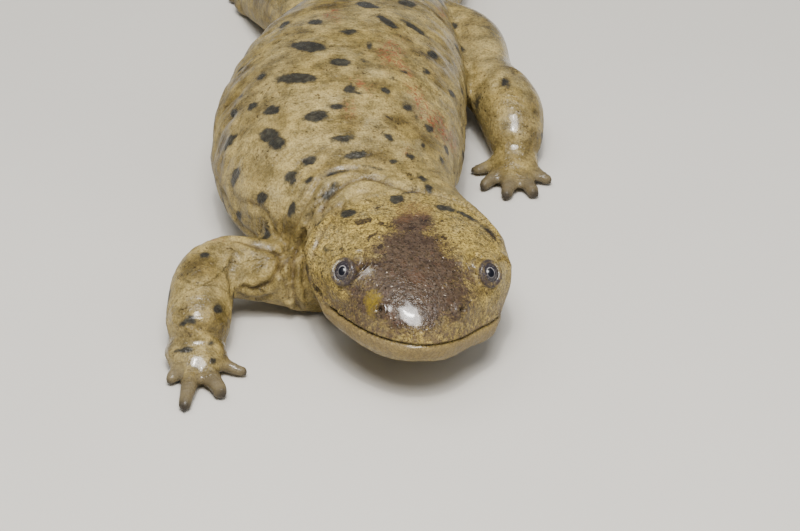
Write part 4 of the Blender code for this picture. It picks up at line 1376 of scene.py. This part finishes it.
    def paint(self, eyes: tuple[Eye, ...]) -> None:
        """Lay the markings on the skin and keep them as attributes."""
        self.paint_marks()
        surface, trunk = self.surface, self.trunk
        points = surface.points
        at, out = trunk.along(points)
        beside = np.clip(np.abs(out) - trunk.sizes(at)[:, 0] - 1.0, 0.0, None)
        head = (1.0 - ease(at, 21.0, 27.0)) * fade(beside, 2.0)
        above = trunk.above_mouth(points)
        behind = trunk.in_head(points)[:, 0]
        lip = ease(-above, 0.05, 0.3) * (1.0 - ease(-above, 1.7, 3.2))
        lids = sum(eye.lid_mask(points) for eye in eyes)
        around = np.arctan2(points[:, 2] - 10.0, out) * 12.0
        self.store("lip", lip * (1.0 - ease(behind, 13.0, 17.0)))
        self.store("toe", np.max([limb.down_digits(points) for limb in self.limbs], axis=0))
        self.store("belly", ease(-surface.normals[:, 2], -0.15, 0.75))
        self.store("lid", lids)
        # Painted shade for the hollows of folds, creases and lid grooves.
        self.store("fold", self.folds)
        # Painted shade in the mouth's slit and the nostrils.
        self.store("dark", np.maximum(self.slit_shade * self.slit, self.nostril_shade))
        self.store("head", head)
        # Painted shade for the band above the mouth.
        self.store("muzzle", head * (1.0 - ease(above, 0.6, 4.6)) * ease(above, -0.1, 0.2))
        self.store("wet", self.wetness(at, head, lids))
        self.store("flow", np.stack((at, around, np.zeros(len(points))), axis=1))

    def dress(self, finish: SkinFinish) -> bpy.types.Object:
        """Shade the skin smooth and give it its material."""
        self.thing.data.shade_smooth()
        self.thing.data.materials.clear()
        self.thing.data.materials.append(finish.material())
        return self.thing


class Wiring:
    """A short way to place and join the nodes of one material or group."""

    def __init__(self, tree: bpy.types.NodeTree) -> None:
        """Work on a node tree."""
        self.tree = tree

    def feed(self, socket: Socket, source: Socket | float | tuple) -> None:
        """Link a socket to another, or set its value."""
        if isinstance(source, Socket):
            self.tree.links.new(source, socket)
        else:
            socket.default_value = source

    def put(self, kind: str, **settings) -> bpy.types.Node:
        """Place a node and set its options."""
        node = self.tree.nodes.new(kind)
        for name, value in settings.items():
            setattr(node, name, value)
        return node

    def maths(self, operation: str, first: Socket | float, second: Socket | float = 0.0,
              clamp: bool = False) -> Socket:
        """Return the result of a sum on two values."""
        node = self.put("ShaderNodeMath", operation=operation, use_clamp=clamp)
        self.feed(node.inputs[0], first)
        self.feed(node.inputs[1], second)
        return node.outputs[0]

    def ramp(self, value: Socket, low: float, high: float, start: float = 0.0,
             end: float = 1.0) -> Socket:
        """Return a smooth rise from start at low to end at high."""
        node = self.put("ShaderNodeMapRange", interpolation_type="SMOOTHSTEP")
        self.feed(node.inputs["Value"], value)
        if low < high:
            limits = (low, high, start, end)
        else:
            limits = (high, low, end, start)
        for name, limit in zip(("From Min", "From Max", "To Min", "To Max"), limits):
            node.inputs[name].default_value = limit
        return node.outputs["Result"]

    def lay(self, amount: Socket | float, under: Socket | tuple, over: Socket | tuple,
            way: Blend = Blend.COVER) -> Socket:
        """Lay one colour over another by an amount from 0 to 1."""
        node = self.put("ShaderNodeMix", data_type="RGBA", blend_type=way.value)
        self.feed(node.inputs[0], amount)
        self.feed(node.inputs[6], under)
        self.feed(node.inputs[7], over)
        return node.outputs[2]

    def tint(self, colour: Socket | tuple, tone: Socket | tuple, mask: Socket,
             amount: Socket | float = 1.0) -> Socket:
        """Lay a tone over a colour where a mask shows, as strongly as an amount says."""
        return self.lay(self.maths("MULTIPLY", mask, amount), colour, tone)

    def attribute(self, name: str, vector: bool = False) -> Socket:
        """Return a value, or a vector, that the mesh keeps under a name."""
        node = self.put("ShaderNodeAttribute", attribute_name=name)
        return node.outputs["Vector" if vector else "Fac"]

    def grain(self, place: Socket, size: float, detail: float = 2.0, rough: float = 0.55,
              distortion: float = 0.0) -> Socket:
        """Return noise about 0.5, whose grains are size across in the place's unit."""
        node = self.put("ShaderNodeTexNoise")
        self.feed(node.inputs["Vector"], place)
        node.inputs["Scale"].default_value = 1.0 / size
        node.inputs["Detail"].default_value = detail
        node.inputs["Roughness"].default_value = rough
        node.inputs["Distortion"].default_value = distortion
        return node.outputs["Fac"]

    def patches(self, place: Socket, size: float, low: float, high: float, most: float = 1.0,
                least: float = 0.0, detail: float = 3.0, rough: float = 0.55) -> Socket:
        """Return noise as soft patches, from least where it is low to most where high."""
        return self.ramp(self.grain(place, size, detail, rough), low, high, least, most)

    def cells(self, place: Socket, size: float, feature: str = "F1") -> Socket:
        """Return the distance to the nearest of points strewn size apart."""
        node = self.put("ShaderNodeTexVoronoi", feature=feature)
        self.feed(node.inputs["Vector"], place)
        node.inputs["Scale"].default_value = 1.0 / size
        return node.outputs["Distance"]

    def span(self, place: Socket, scale: tuple[float, float, float]) -> Socket:
        """Return the length of a vector whose parts are first scaled."""
        scaled = self.put("ShaderNodeMapping")
        scaled.inputs["Scale"].default_value = scale
        self.feed(scaled.inputs["Vector"], place)
        length = self.put("ShaderNodeVectorMath", operation="LENGTH")
        self.feed(length.inputs[0], scaled.outputs["Vector"])
        return length.outputs["Value"]

    def in_millimetres(self) -> Socket:
        """Return the object's coordinates in millimetres."""
        place = self.put("ShaderNodeTexCoord").outputs["Object"]
        node = self.put("ShaderNodeMapping")
        node.inputs["Scale"].default_value = (1.0 / MM,) * 3
        self.feed(node.inputs["Vector"], place)
        return node.outputs["Vector"]

    def flecks(self, place: Socket, size: float, low: float, high: float) -> Socket:
        """Return a mask of small flecks from the shared group."""
        node = self.put("ShaderNodeGroup")
        node.node_tree = fleck_group()
        self.feed(node.inputs["Place"], place)
        for name, value in (("Size", size), ("Low", low), ("High", high)):
            node.inputs[name].default_value = value
        return node.outputs["Mask"]


def fleck_group() -> bpy.types.NodeTree:
    """Return the shared group that turns fine noise into a mask of flecks."""
    name = "flecks"
    if name in bpy.data.node_groups:
        return bpy.data.node_groups[name]
    group = bpy.data.node_groups.new(name, "ShaderNodeTree")
    group.interface.new_socket("Place", in_out="INPUT", socket_type="NodeSocketVector")
    for socket in ("Size", "Low", "High"):
        group.interface.new_socket(socket, in_out="INPUT", socket_type="NodeSocketFloat")
    group.interface.new_socket("Mask", in_out="OUTPUT", socket_type="NodeSocketFloat")
    wiring = Wiring(group)
    given = wiring.put("NodeGroupInput")
    result = wiring.put("NodeGroupOutput")
    texture = wiring.put("ShaderNodeTexNoise")
    texture.inputs["Detail"].default_value = 1.5
    wiring.feed(texture.inputs["Vector"], given.outputs["Place"])
    wiring.feed(texture.inputs["Scale"], wiring.maths("DIVIDE", 1.0, given.outputs["Size"]))
    limits = wiring.put("ShaderNodeMapRange", interpolation_type="SMOOTHSTEP")
    wiring.feed(limits.inputs["Value"], texture.outputs["Fac"])
    wiring.feed(limits.inputs["From Min"], given.outputs["Low"])
    wiring.feed(limits.inputs["From Max"], given.outputs["High"])
    wiring.feed(result.inputs["Mask"], limits.outputs["Result"])
    return group


@dataclass(frozen=True)
class SkinFinish:
    """Moist olive skin with dark spots, a stained crown, a pale lip, painted shade and painted
    glints.
    """

    khaki: tuple = linear(158, 139, 84)
    shade: tuple = linear(98, 83, 46)
    gold: tuple = linear(182, 157, 80)
    stipple: tuple = linear(50, 38, 22)
    grey: tuple = linear(130, 120, 90)
    pale: tuple = linear(184, 166, 116)
    spot: tuple = linear(38, 38, 36)
    spot_middle: tuple = linear(56, 56, 50)
    stain: tuple = linear(58, 44, 37)
    # The light part of the stain, and also the painted shade of the band above the mouth.
    light_stain_and_muzzle_shade: tuple = linear(88, 72, 60)
    stain_red: tuple = linear(88, 56, 38)
    stain_dark: tuple = linear(40, 30, 26)
    # Painted glints on the stain.
    painted_glint: tuple = linear(206, 190, 172)
    golden_patch: tuple = linear(126, 106, 32)
    orange: tuple = linear(112, 76, 48)
    blush: tuple = linear(134, 66, 44)
    lip: tuple = linear(126, 108, 74)
    toe: tuple = linear(104, 94, 74)
    toe_tip: tuple = linear(34, 30, 30)
    belly: tuple = linear(134, 120, 80)
    lid: tuple = linear(62, 54, 54)
    # Painted shade for the hollows of folds, creases and lid grooves.
    fold: tuple = linear(64, 49, 30)
    # The stain's dark flecks, and the painted shade of the mouth's slit and nostrils.
    dark: tuple = linear(22, 16, 11)

    def material(self) -> bpy.types.Material:
        """Build the skin's material."""
        material = bpy.data.materials.new("moist_skin")
        material.use_nodes = True
        wiring = Wiring(material.node_tree)
        shader = material.node_tree.nodes["Principled BSDF"]
        place = wiring.in_millimetres()
        colour = self.ground(wiring, place)
        colour = self.markings(wiring, place, colour)
        wiring.feed(shader.inputs["Base Color"], colour)
        wiring.feed(shader.inputs["Roughness"], self.roughness(wiring, place))
        wiring.feed(shader.inputs["Coat Weight"], wiring.attribute("wet"))
        shader.inputs["Coat Roughness"].default_value = 0.13
        wiring.feed(shader.inputs["Normal"], self.relief(wiring, place))
        shader.inputs["Specular IOR Level"].default_value = 0.27
        shader.inputs["Subsurface Weight"].default_value = 0.05
        shader.inputs["Subsurface Radius"].default_value = (1.0, 0.6, 0.35)
        shader.inputs["Subsurface Scale"].default_value = 0.0008
        return material

    def stretched(self, wiring: Wiring, size: float, detail: float = 3.0) -> Socket:
        """Return noise drawn out round the body, as its loose skin is."""
        flow = wiring.put("ShaderNodeMapping")
        flow.inputs["Scale"].default_value = (1.0, 0.2, 1.0)
        wiring.feed(flow.inputs["Vector"], wiring.attribute("flow", vector=True))
        return wiring.grain(flow.outputs["Vector"], size, detail, 0.55, 0.6)

    def ground(self, wiring: Wiring, place: Socket) -> Socket:
        """Return the plain colour of the skin, mottled, streaked and stippled."""
        head = wiring.attribute("head")
        loose = wiring.maths("SUBTRACT", 1.0, head, clamp=True)
        colour = self.mottles(wiring, place, head, loose)
        colour = wiring.tint(colour, self.belly, wiring.attribute("belly"), 0.85)
        colour = self.grains(wiring, place, head, colour)
        broad = wiring.patches(place, 2.4, 0.3, 0.7, 1.36, 0.56, 5.0, 0.66)
        colour = wiring.lay(loose, colour, wiring.lay(1.0, colour, broad, Blend.DARKEN))
        tooth = wiring.patches(place, 0.7, 0.3, 0.7, 1.45, 0.5, 4.0, 0.75)
        return wiring.lay(head, colour, wiring.lay(1.0, colour, tooth, Blend.DARKEN))

    def mottles(self, wiring: Wiring, place: Socket, head: Socket, loose: Socket) -> Socket:
        """Return the clouds and streaks of olive, grey and gold under the rest."""
        colour = wiring.lay(wiring.patches(place, 8.0, 0.36, 0.64), self.khaki, self.shade)
        cool = wiring.patches(place, 5.0, 0.5, 0.66, 0.6, detail=2.0)
        colour = wiring.lay(cool, colour, self.grey)
        mottle = wiring.patches(place, 3.0, 0.36, 0.66, rough=0.5)
        colour = wiring.tint(colour, self.gold, mottle, wiring.ramp(head, 0.0, 1.0, 0.35, 0.7))
        streak = wiring.ramp(self.stretched(wiring, 1.3), 0.54, 0.68, 0.0, 0.4)
        colour = wiring.tint(colour, self.shade, streak, loose)
        paler = wiring.patches(place, 6.0, 0.35, 0.65, 0.42)
        return wiring.tint(colour, self.pale, paler, loose)

    def grains(self, wiring: Wiring, place: Socket, head: Socket, colour: Socket) -> Socket:
        """Lay the fine grain and the dark and light flecks, all stronger on the head."""
        sandy = wiring.patches(place, 0.26, 0.56, 0.38, detail=1.0, rough=0.5)
        colour = wiring.tint(colour, self.shade, sandy, wiring.ramp(head, 0.0, 1.0, 0.45, 0.8))
        fine = wiring.flecks(place, 0.27, 0.55, 0.66)
        colour = wiring.tint(colour, self.stipple, fine, wiring.ramp(head, 0.0, 1.0, 0.3, 0.7))
        rare = wiring.flecks(place, 0.55, 0.61, 0.68)
        crowd = wiring.patches(place, 4.0, 0.42, 0.62, 0.8, 0.05, 2.0)
        colour = wiring.tint(colour, self.stipple, rare, crowd)
        light = wiring.flecks(place, 0.24, 0.52, 0.66)
        return wiring.tint(colour, self.gold, light, wiring.ramp(head, 0.0, 1.0, 0.2, 0.8))

    def edge(self, wiring: Wiring, place: Socket, name: str, size: float, push: float,
             soft: float, ragged: float = 0.0) -> Socket:
        """Return the mask of a painted patch with a ragged edge.

        Args:
            wiring: places the nodes.
            place: the coordinates.
            name: the attribute that holds the distance to the patch's rim.
            size: how large the edge's wanderings are.
            push: how far they move the edge.
            soft: how wide the edge fades.
            ragged: how far specks stray over the edge.
        """
        wander = wiring.maths("SUBTRACT", wiring.grain(place, size, 5.0, 0.62), 0.5)
        moved = wiring.maths("MULTIPLY", wander, 2.0 * push)
        rim = wiring.maths("ADD", wiring.attribute(name), moved)
        if ragged > 0.0:
            stray = wiring.maths("SUBTRACT", wiring.grain(place, 0.3, 2.0, 0.6), 0.5)
            rim = wiring.maths("ADD", rim, wiring.maths("MULTIPLY", stray, 2.0 * ragged))
        return wiring.ramp(rim, soft, -soft)

    def markings(self, wiring: Wiring, place: Socket, colour: Socket) -> Socket:
        """Lay the painted shade of folds, mouth and nostrils, the spots, the stain, the lip and the
        toes.
        """
        # Painted shade in the hollows of folds, creases and lid grooves.
        fold = wiring.ramp(wiring.attribute("fold"), 0.2, 0.95, 0.0, 0.6)
        colour = wiring.lay(fold, colour, self.fold)
        blush = self.edge(wiring, place, "blush", 1.6, 1.8, 0.9)
        rash = wiring.patches(place, 0.6, 0.5, 0.57, 0.8, 0.04, 4.0, 0.75)
        colour = wiring.tint(colour, self.blush, blush, rash)
        colour = wiring.tint(colour, self.lip, wiring.attribute("lip"), 0.7)
        spot = self.edge(wiring, place, "spot", 1.3, 0.7, 0.28)
        tone = wiring.lay(wiring.patches(place, 0.7, 0.45, 0.65), self.spot, self.spot_middle)
        colour = wiring.tint(colour, tone, spot, 0.95)
        colour = self.crown(wiring, place, colour)
        veins = wiring.patches(place, 0.4, 0.4, 0.62, 1.0, 0.7)
        lid = wiring.maths("MULTIPLY", wiring.attribute("lid"), veins, clamp=True)
        colour = wiring.lay(lid, colour, self.lid)
        toe = wiring.attribute("toe")
        colour = wiring.lay(wiring.ramp(toe, 0.25, 0.7, 0.0, 0.85), colour, self.toe)
        colour = wiring.lay(wiring.ramp(toe, 0.8, 0.98, 0.0, 0.9), colour, self.toe_tip)
        # Painted shade in the mouth's slit and the nostrils.
        return wiring.lay(wiring.attribute("dark"), colour, self.dark)

    def crown(self, wiring: Wiring, place: Socket, colour: Socket) -> Socket:
        """Lay the stain with its painted glints, the muzzle's painted shade and the crown's small
        patches.
        """
        # Painted shade: brown specks darken the band above the mouth.
        muzzle = wiring.patches(place, 0.6, 0.42, 0.6, 0.8, 0.1, rough=0.7)
        colour = wiring.tint(colour, self.light_stain_and_muzzle_shade, muzzle, wiring.attribute("muzzle"))
        light = wiring.patches(place, 0.8, 0.38, 0.64, 0.75, rough=0.7)
        tone = wiring.lay(light, self.stain, self.light_stain_and_muzzle_shade)
        tone = wiring.lay(wiring.patches(place, 1.2, 0.54, 0.68, 0.3, detail=2.0), tone,
                          self.stain_red)
        tone = wiring.tint(tone, self.dark, wiring.flecks(place, 0.28, 0.56, 0.64), 0.85)
        # Pale flecks on the stain are painted glints.
        tone = wiring.tint(tone, self.painted_glint, wiring.flecks(place, 0.5, 0.7, 0.76), 0.8)
        stain = self.edge(wiring, place, "stain", 1.9, 1.8, 1.1, 1.5)
        colour = wiring.tint(colour, tone, stain, 0.95)
        speckle = wiring.patches(place, 0.5, 0.38, 0.58, 0.8, 0.15, rough=0.7)
        golden = self.edge(wiring, place, "gold", 0.8, 0.8, 0.4, 0.6)
        colour = wiring.tint(colour, self.golden_patch, golden,
                             wiring.maths("ADD", speckle, 0.3, True))
        orange = self.edge(wiring, place, "orange", 0.6, 0.9, 0.6, 0.8)
        colour = wiring.tint(colour, self.orange, orange, wiring.maths("MULTIPLY", speckle, 0.5))
        crack = self.edge(wiring, place, "crack", 0.6, 0.5, 0.15, 0.3)
        return wiring.tint(colour, self.stain_dark, crack, 0.85)

    def roughness(self, wiring: Wiring, place: Socket) -> Socket:
        """Return a roughness that is lower where the skin is moist."""
        film = wiring.patches(place, 2.4, 0.35, 0.65, 0.62, 0.38)
        wet = wiring.attribute("wet")
        return wiring.maths("SUBTRACT", film, wiring.maths("MULTIPLY", wet, 0.26), clamp=True)

    def relief(self, wiring: Wiring, place: Socket) -> Socket:
        """Return the fine relief of pores, granules and stretched wrinkles."""
        granules = wiring.cells(place, 0.42, "SMOOTH_F1")
        pores = wiring.grain(place, 0.22, 1.0)
        lines = self.stretched(wiring, 1.0, 2.0)
        free = wiring.ramp(wiring.attribute("head"), 0.1, 0.8, 1.7, 0.1)
        lines = wiring.maths("MULTIPLY", lines, free)
        height = wiring.maths("ADD", wiring.maths("MULTIPLY", granules, -0.6),
                              wiring.maths("MULTIPLY", pores, 0.5))
        height = wiring.maths("ADD", height, lines)
        bump = wiring.put("ShaderNodeBump")
        bump.inputs["Strength"].default_value = 0.7
        bump.inputs["Distance"].default_value = 0.26 * MM
        wiring.feed(bump.inputs["Height"], height)
        return bump.outputs["Normal"]


@dataclass(frozen=True)
class EyeFinish:
    """A dark brassy iris round an upright pupil, with a painted highlight on its pale ring, under a
    wet cornea.
    """

    pupil: tuple = linear(12, 14, 24)
    # The pale ring round the pupil, which also carries a painted highlight.
    pale_ring_and_highlight: tuple = linear(150, 147, 146)
    iris: tuple = linear(42, 38, 43)
    brass: tuple = linear(112, 104, 100)
    rim: tuple = linear(50, 45, 50)
    pupil_size: tuple[float, float] = (0.23, 0.32)

    def material(self) -> bpy.types.Material:
        """Build the eye's material, or return it if it is there."""
        if "wet_eye" in bpy.data.materials:
            return bpy.data.materials["wet_eye"]
        material = bpy.data.materials.new("wet_eye")
        material.use_nodes = True
        wiring = Wiring(material.node_tree)
        shader = material.node_tree.nodes["Principled BSDF"]
        look = wiring.attribute("look", vector=True)
        wide, tall = self.pupil_size
        oval = wiring.span(look, (1.0 / wide, 1.0 / tall, 0.0))
        span = wiring.span(look, (1.0, 1.0, 0.0))
        brass = wiring.flecks(look, 0.17, 0.53, 0.66)
        colour = wiring.tint(self.iris, self.brass, brass, 0.55)
        colour = wiring.lay(wiring.ramp(span, 0.6, 0.78), colour, self.rim)
        # The pale ring is brighter on its upper side, as a painted highlight.
        slope = wiring.put("ShaderNodeVectorMath", operation="DOT_PRODUCT")
        slope.inputs[1].default_value = (0.5, 0.86, 0.0)
        wiring.feed(slope.inputs[0], look)
        lit = wiring.ramp(slope.outputs["Value"], -0.15, 0.25, 0.25, 1.0)
        pale = wiring.maths("MULTIPLY", wiring.ramp(oval, 1.34, 1.22), lit)
        colour = wiring.lay(pale, colour, self.pale_ring_and_highlight)
        colour = wiring.lay(wiring.ramp(oval, 1.12, 1.02), colour, self.pupil)
        wiring.feed(shader.inputs["Base Color"], colour)
        shader.inputs["Roughness"].default_value = 0.3
        shader.inputs["Specular IOR Level"].default_value = 0.2
        wiring.feed(shader.inputs["Coat Weight"], wiring.ramp(span, 0.9, 0.6, 0.25, 1.0))
        shader.inputs["Coat Roughness"].default_value = 0.02
        shader.inputs["Coat IOR"].default_value = 1.38
        return material


@dataclass(frozen=True)
class Lamp:
    """A soft light, by where it stands round the animal and how large it is."""

    name: str
    bearing: float
    height: float
    distance: float
    size: float
    watts: float
    colour: tuple[float, float, float]
    mirrored: bool = True

    def put(self, target: Vector) -> None:
        """Put the light in the scene, turned to a place in millimetres."""
        data = bpy.data.lights.new(self.name, "AREA")
        data.shape = "DISK"
        data.size = self.size * MM
        data.energy = self.watts
        data.color = self.colour
        bearing, height = math.radians(self.bearing), math.radians(self.height)
        toward = Vector((math.sin(bearing) * math.cos(height),
                         -math.cos(bearing) * math.cos(height), math.sin(height)))
        lamp = bpy.data.objects.new(self.name, data)
        lamp.location = (target + toward * self.distance) * MM
        lamp.rotation_euler = (-toward).to_track_quat("-Z", "Y").to_euler()
        lamp.visible_glossy = self.mirrored
        bpy.context.scene.collection.objects.link(lamp)


@dataclass(frozen=True)
class Studio:
    """A plain pale floor under soft lights."""

    floor_half_width: float = 900.0
    floor_colour: tuple = linear(222, 219, 212)
    air_colour: tuple = (0.93, 0.96, 1.0, 1.0)
    air_strength: float = 0.22
    lamps: tuple[Lamp, ...] = (
        Lamp("key", 1.0, 64.0, 520.0, 260.0, 3.5, (1.0, 0.97, 0.93)),
        Lamp("sun", -2.0, 66.0, 560.0, 40.0, 0.9, (1.0, 0.97, 0.93)),
        Lamp("sky", -110.0, 72.0, 620.0, 420.0, 1.0, (1.0, 0.99, 0.97), False),
        Lamp("fill", 60.0, 44.0, 620.0, 420.0, 0.5, (0.95, 0.97, 1.0), False),
    )

    def build(self, view: Viewpoint) -> None:
        """Lay the floor, set the lamps and light the air."""
        mesh = bmesh.new()
        half = self.floor_half_width * MM
        bmesh.ops.create_grid(mesh, x_segments=2, y_segments=2, size=half)
        floor = make_object("floor", mesh)
        floor.data.materials.append(self.floor_material())
        for lamp in self.lamps:
            lamp.put(Vector(view.target))
        world = bpy.data.worlds.new("air")
        world.use_nodes = True
        air = world.node_tree.nodes["Background"]
        air.inputs["Color"].default_value = self.air_colour
        air.inputs["Strength"].default_value = self.air_strength
        bpy.context.scene.world = world

    def floor_material(self) -> bpy.types.Material:
        """Return matt pale paper with a faint tooth."""
        material = bpy.data.materials.new("pale_paper")
        material.use_nodes = True
        wiring = Wiring(material.node_tree)
        shader = material.node_tree.nodes["Principled BSDF"]
        place = wiring.in_millimetres()
        tone = wiring.patches(place, 60.0, 0.3, 0.7, 0.25, detail=2.0)
        darker = tuple(0.9 * part for part in self.floor_colour[:3]) + (1.0,)
        wiring.feed(shader.inputs["Base Color"], wiring.lay(tone, self.floor_colour, darker))
        shader.inputs["Roughness"].default_value = 0.85
        shader.inputs["Specular IOR Level"].default_value = 0.2
        return material


def main() -> None:
    """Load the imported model, build the animal over it and light it."""
    logging.basicConfig(level=logging.INFO, format="%(message)s")
    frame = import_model()
    view = Viewpoint()
    trunk = Trunk()
    eyes = (Eye(Side.RIGHT, trunk, view), Eye(Side.LEFT, trunk, view))
    skin = Skin(trunk, LIMBS, view)
    skin.sculpt(eyes)
    skin.paint(eyes)
    hide = skin.dress(SkinFinish())
    flesh = [name for name in frame["nodes"] if not name.endswith("_eye")]
    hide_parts(*flesh)
    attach(hide, "root")
    LOG.info("skin: %d vertices over %d solids", len(hide.data.vertices), len(flesh))
    for eye in eyes:
        ball = eye.build(EyeFinish())
        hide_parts(eye.name)
        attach(ball, "root")
        LOG.info("%s: radius %.2f mm", eye.name, eye.radius)
    Studio().build(view)
    view.make_camera()
    LOG.info("studio and camera are in place")


if __name__ == "__main__":
    main()
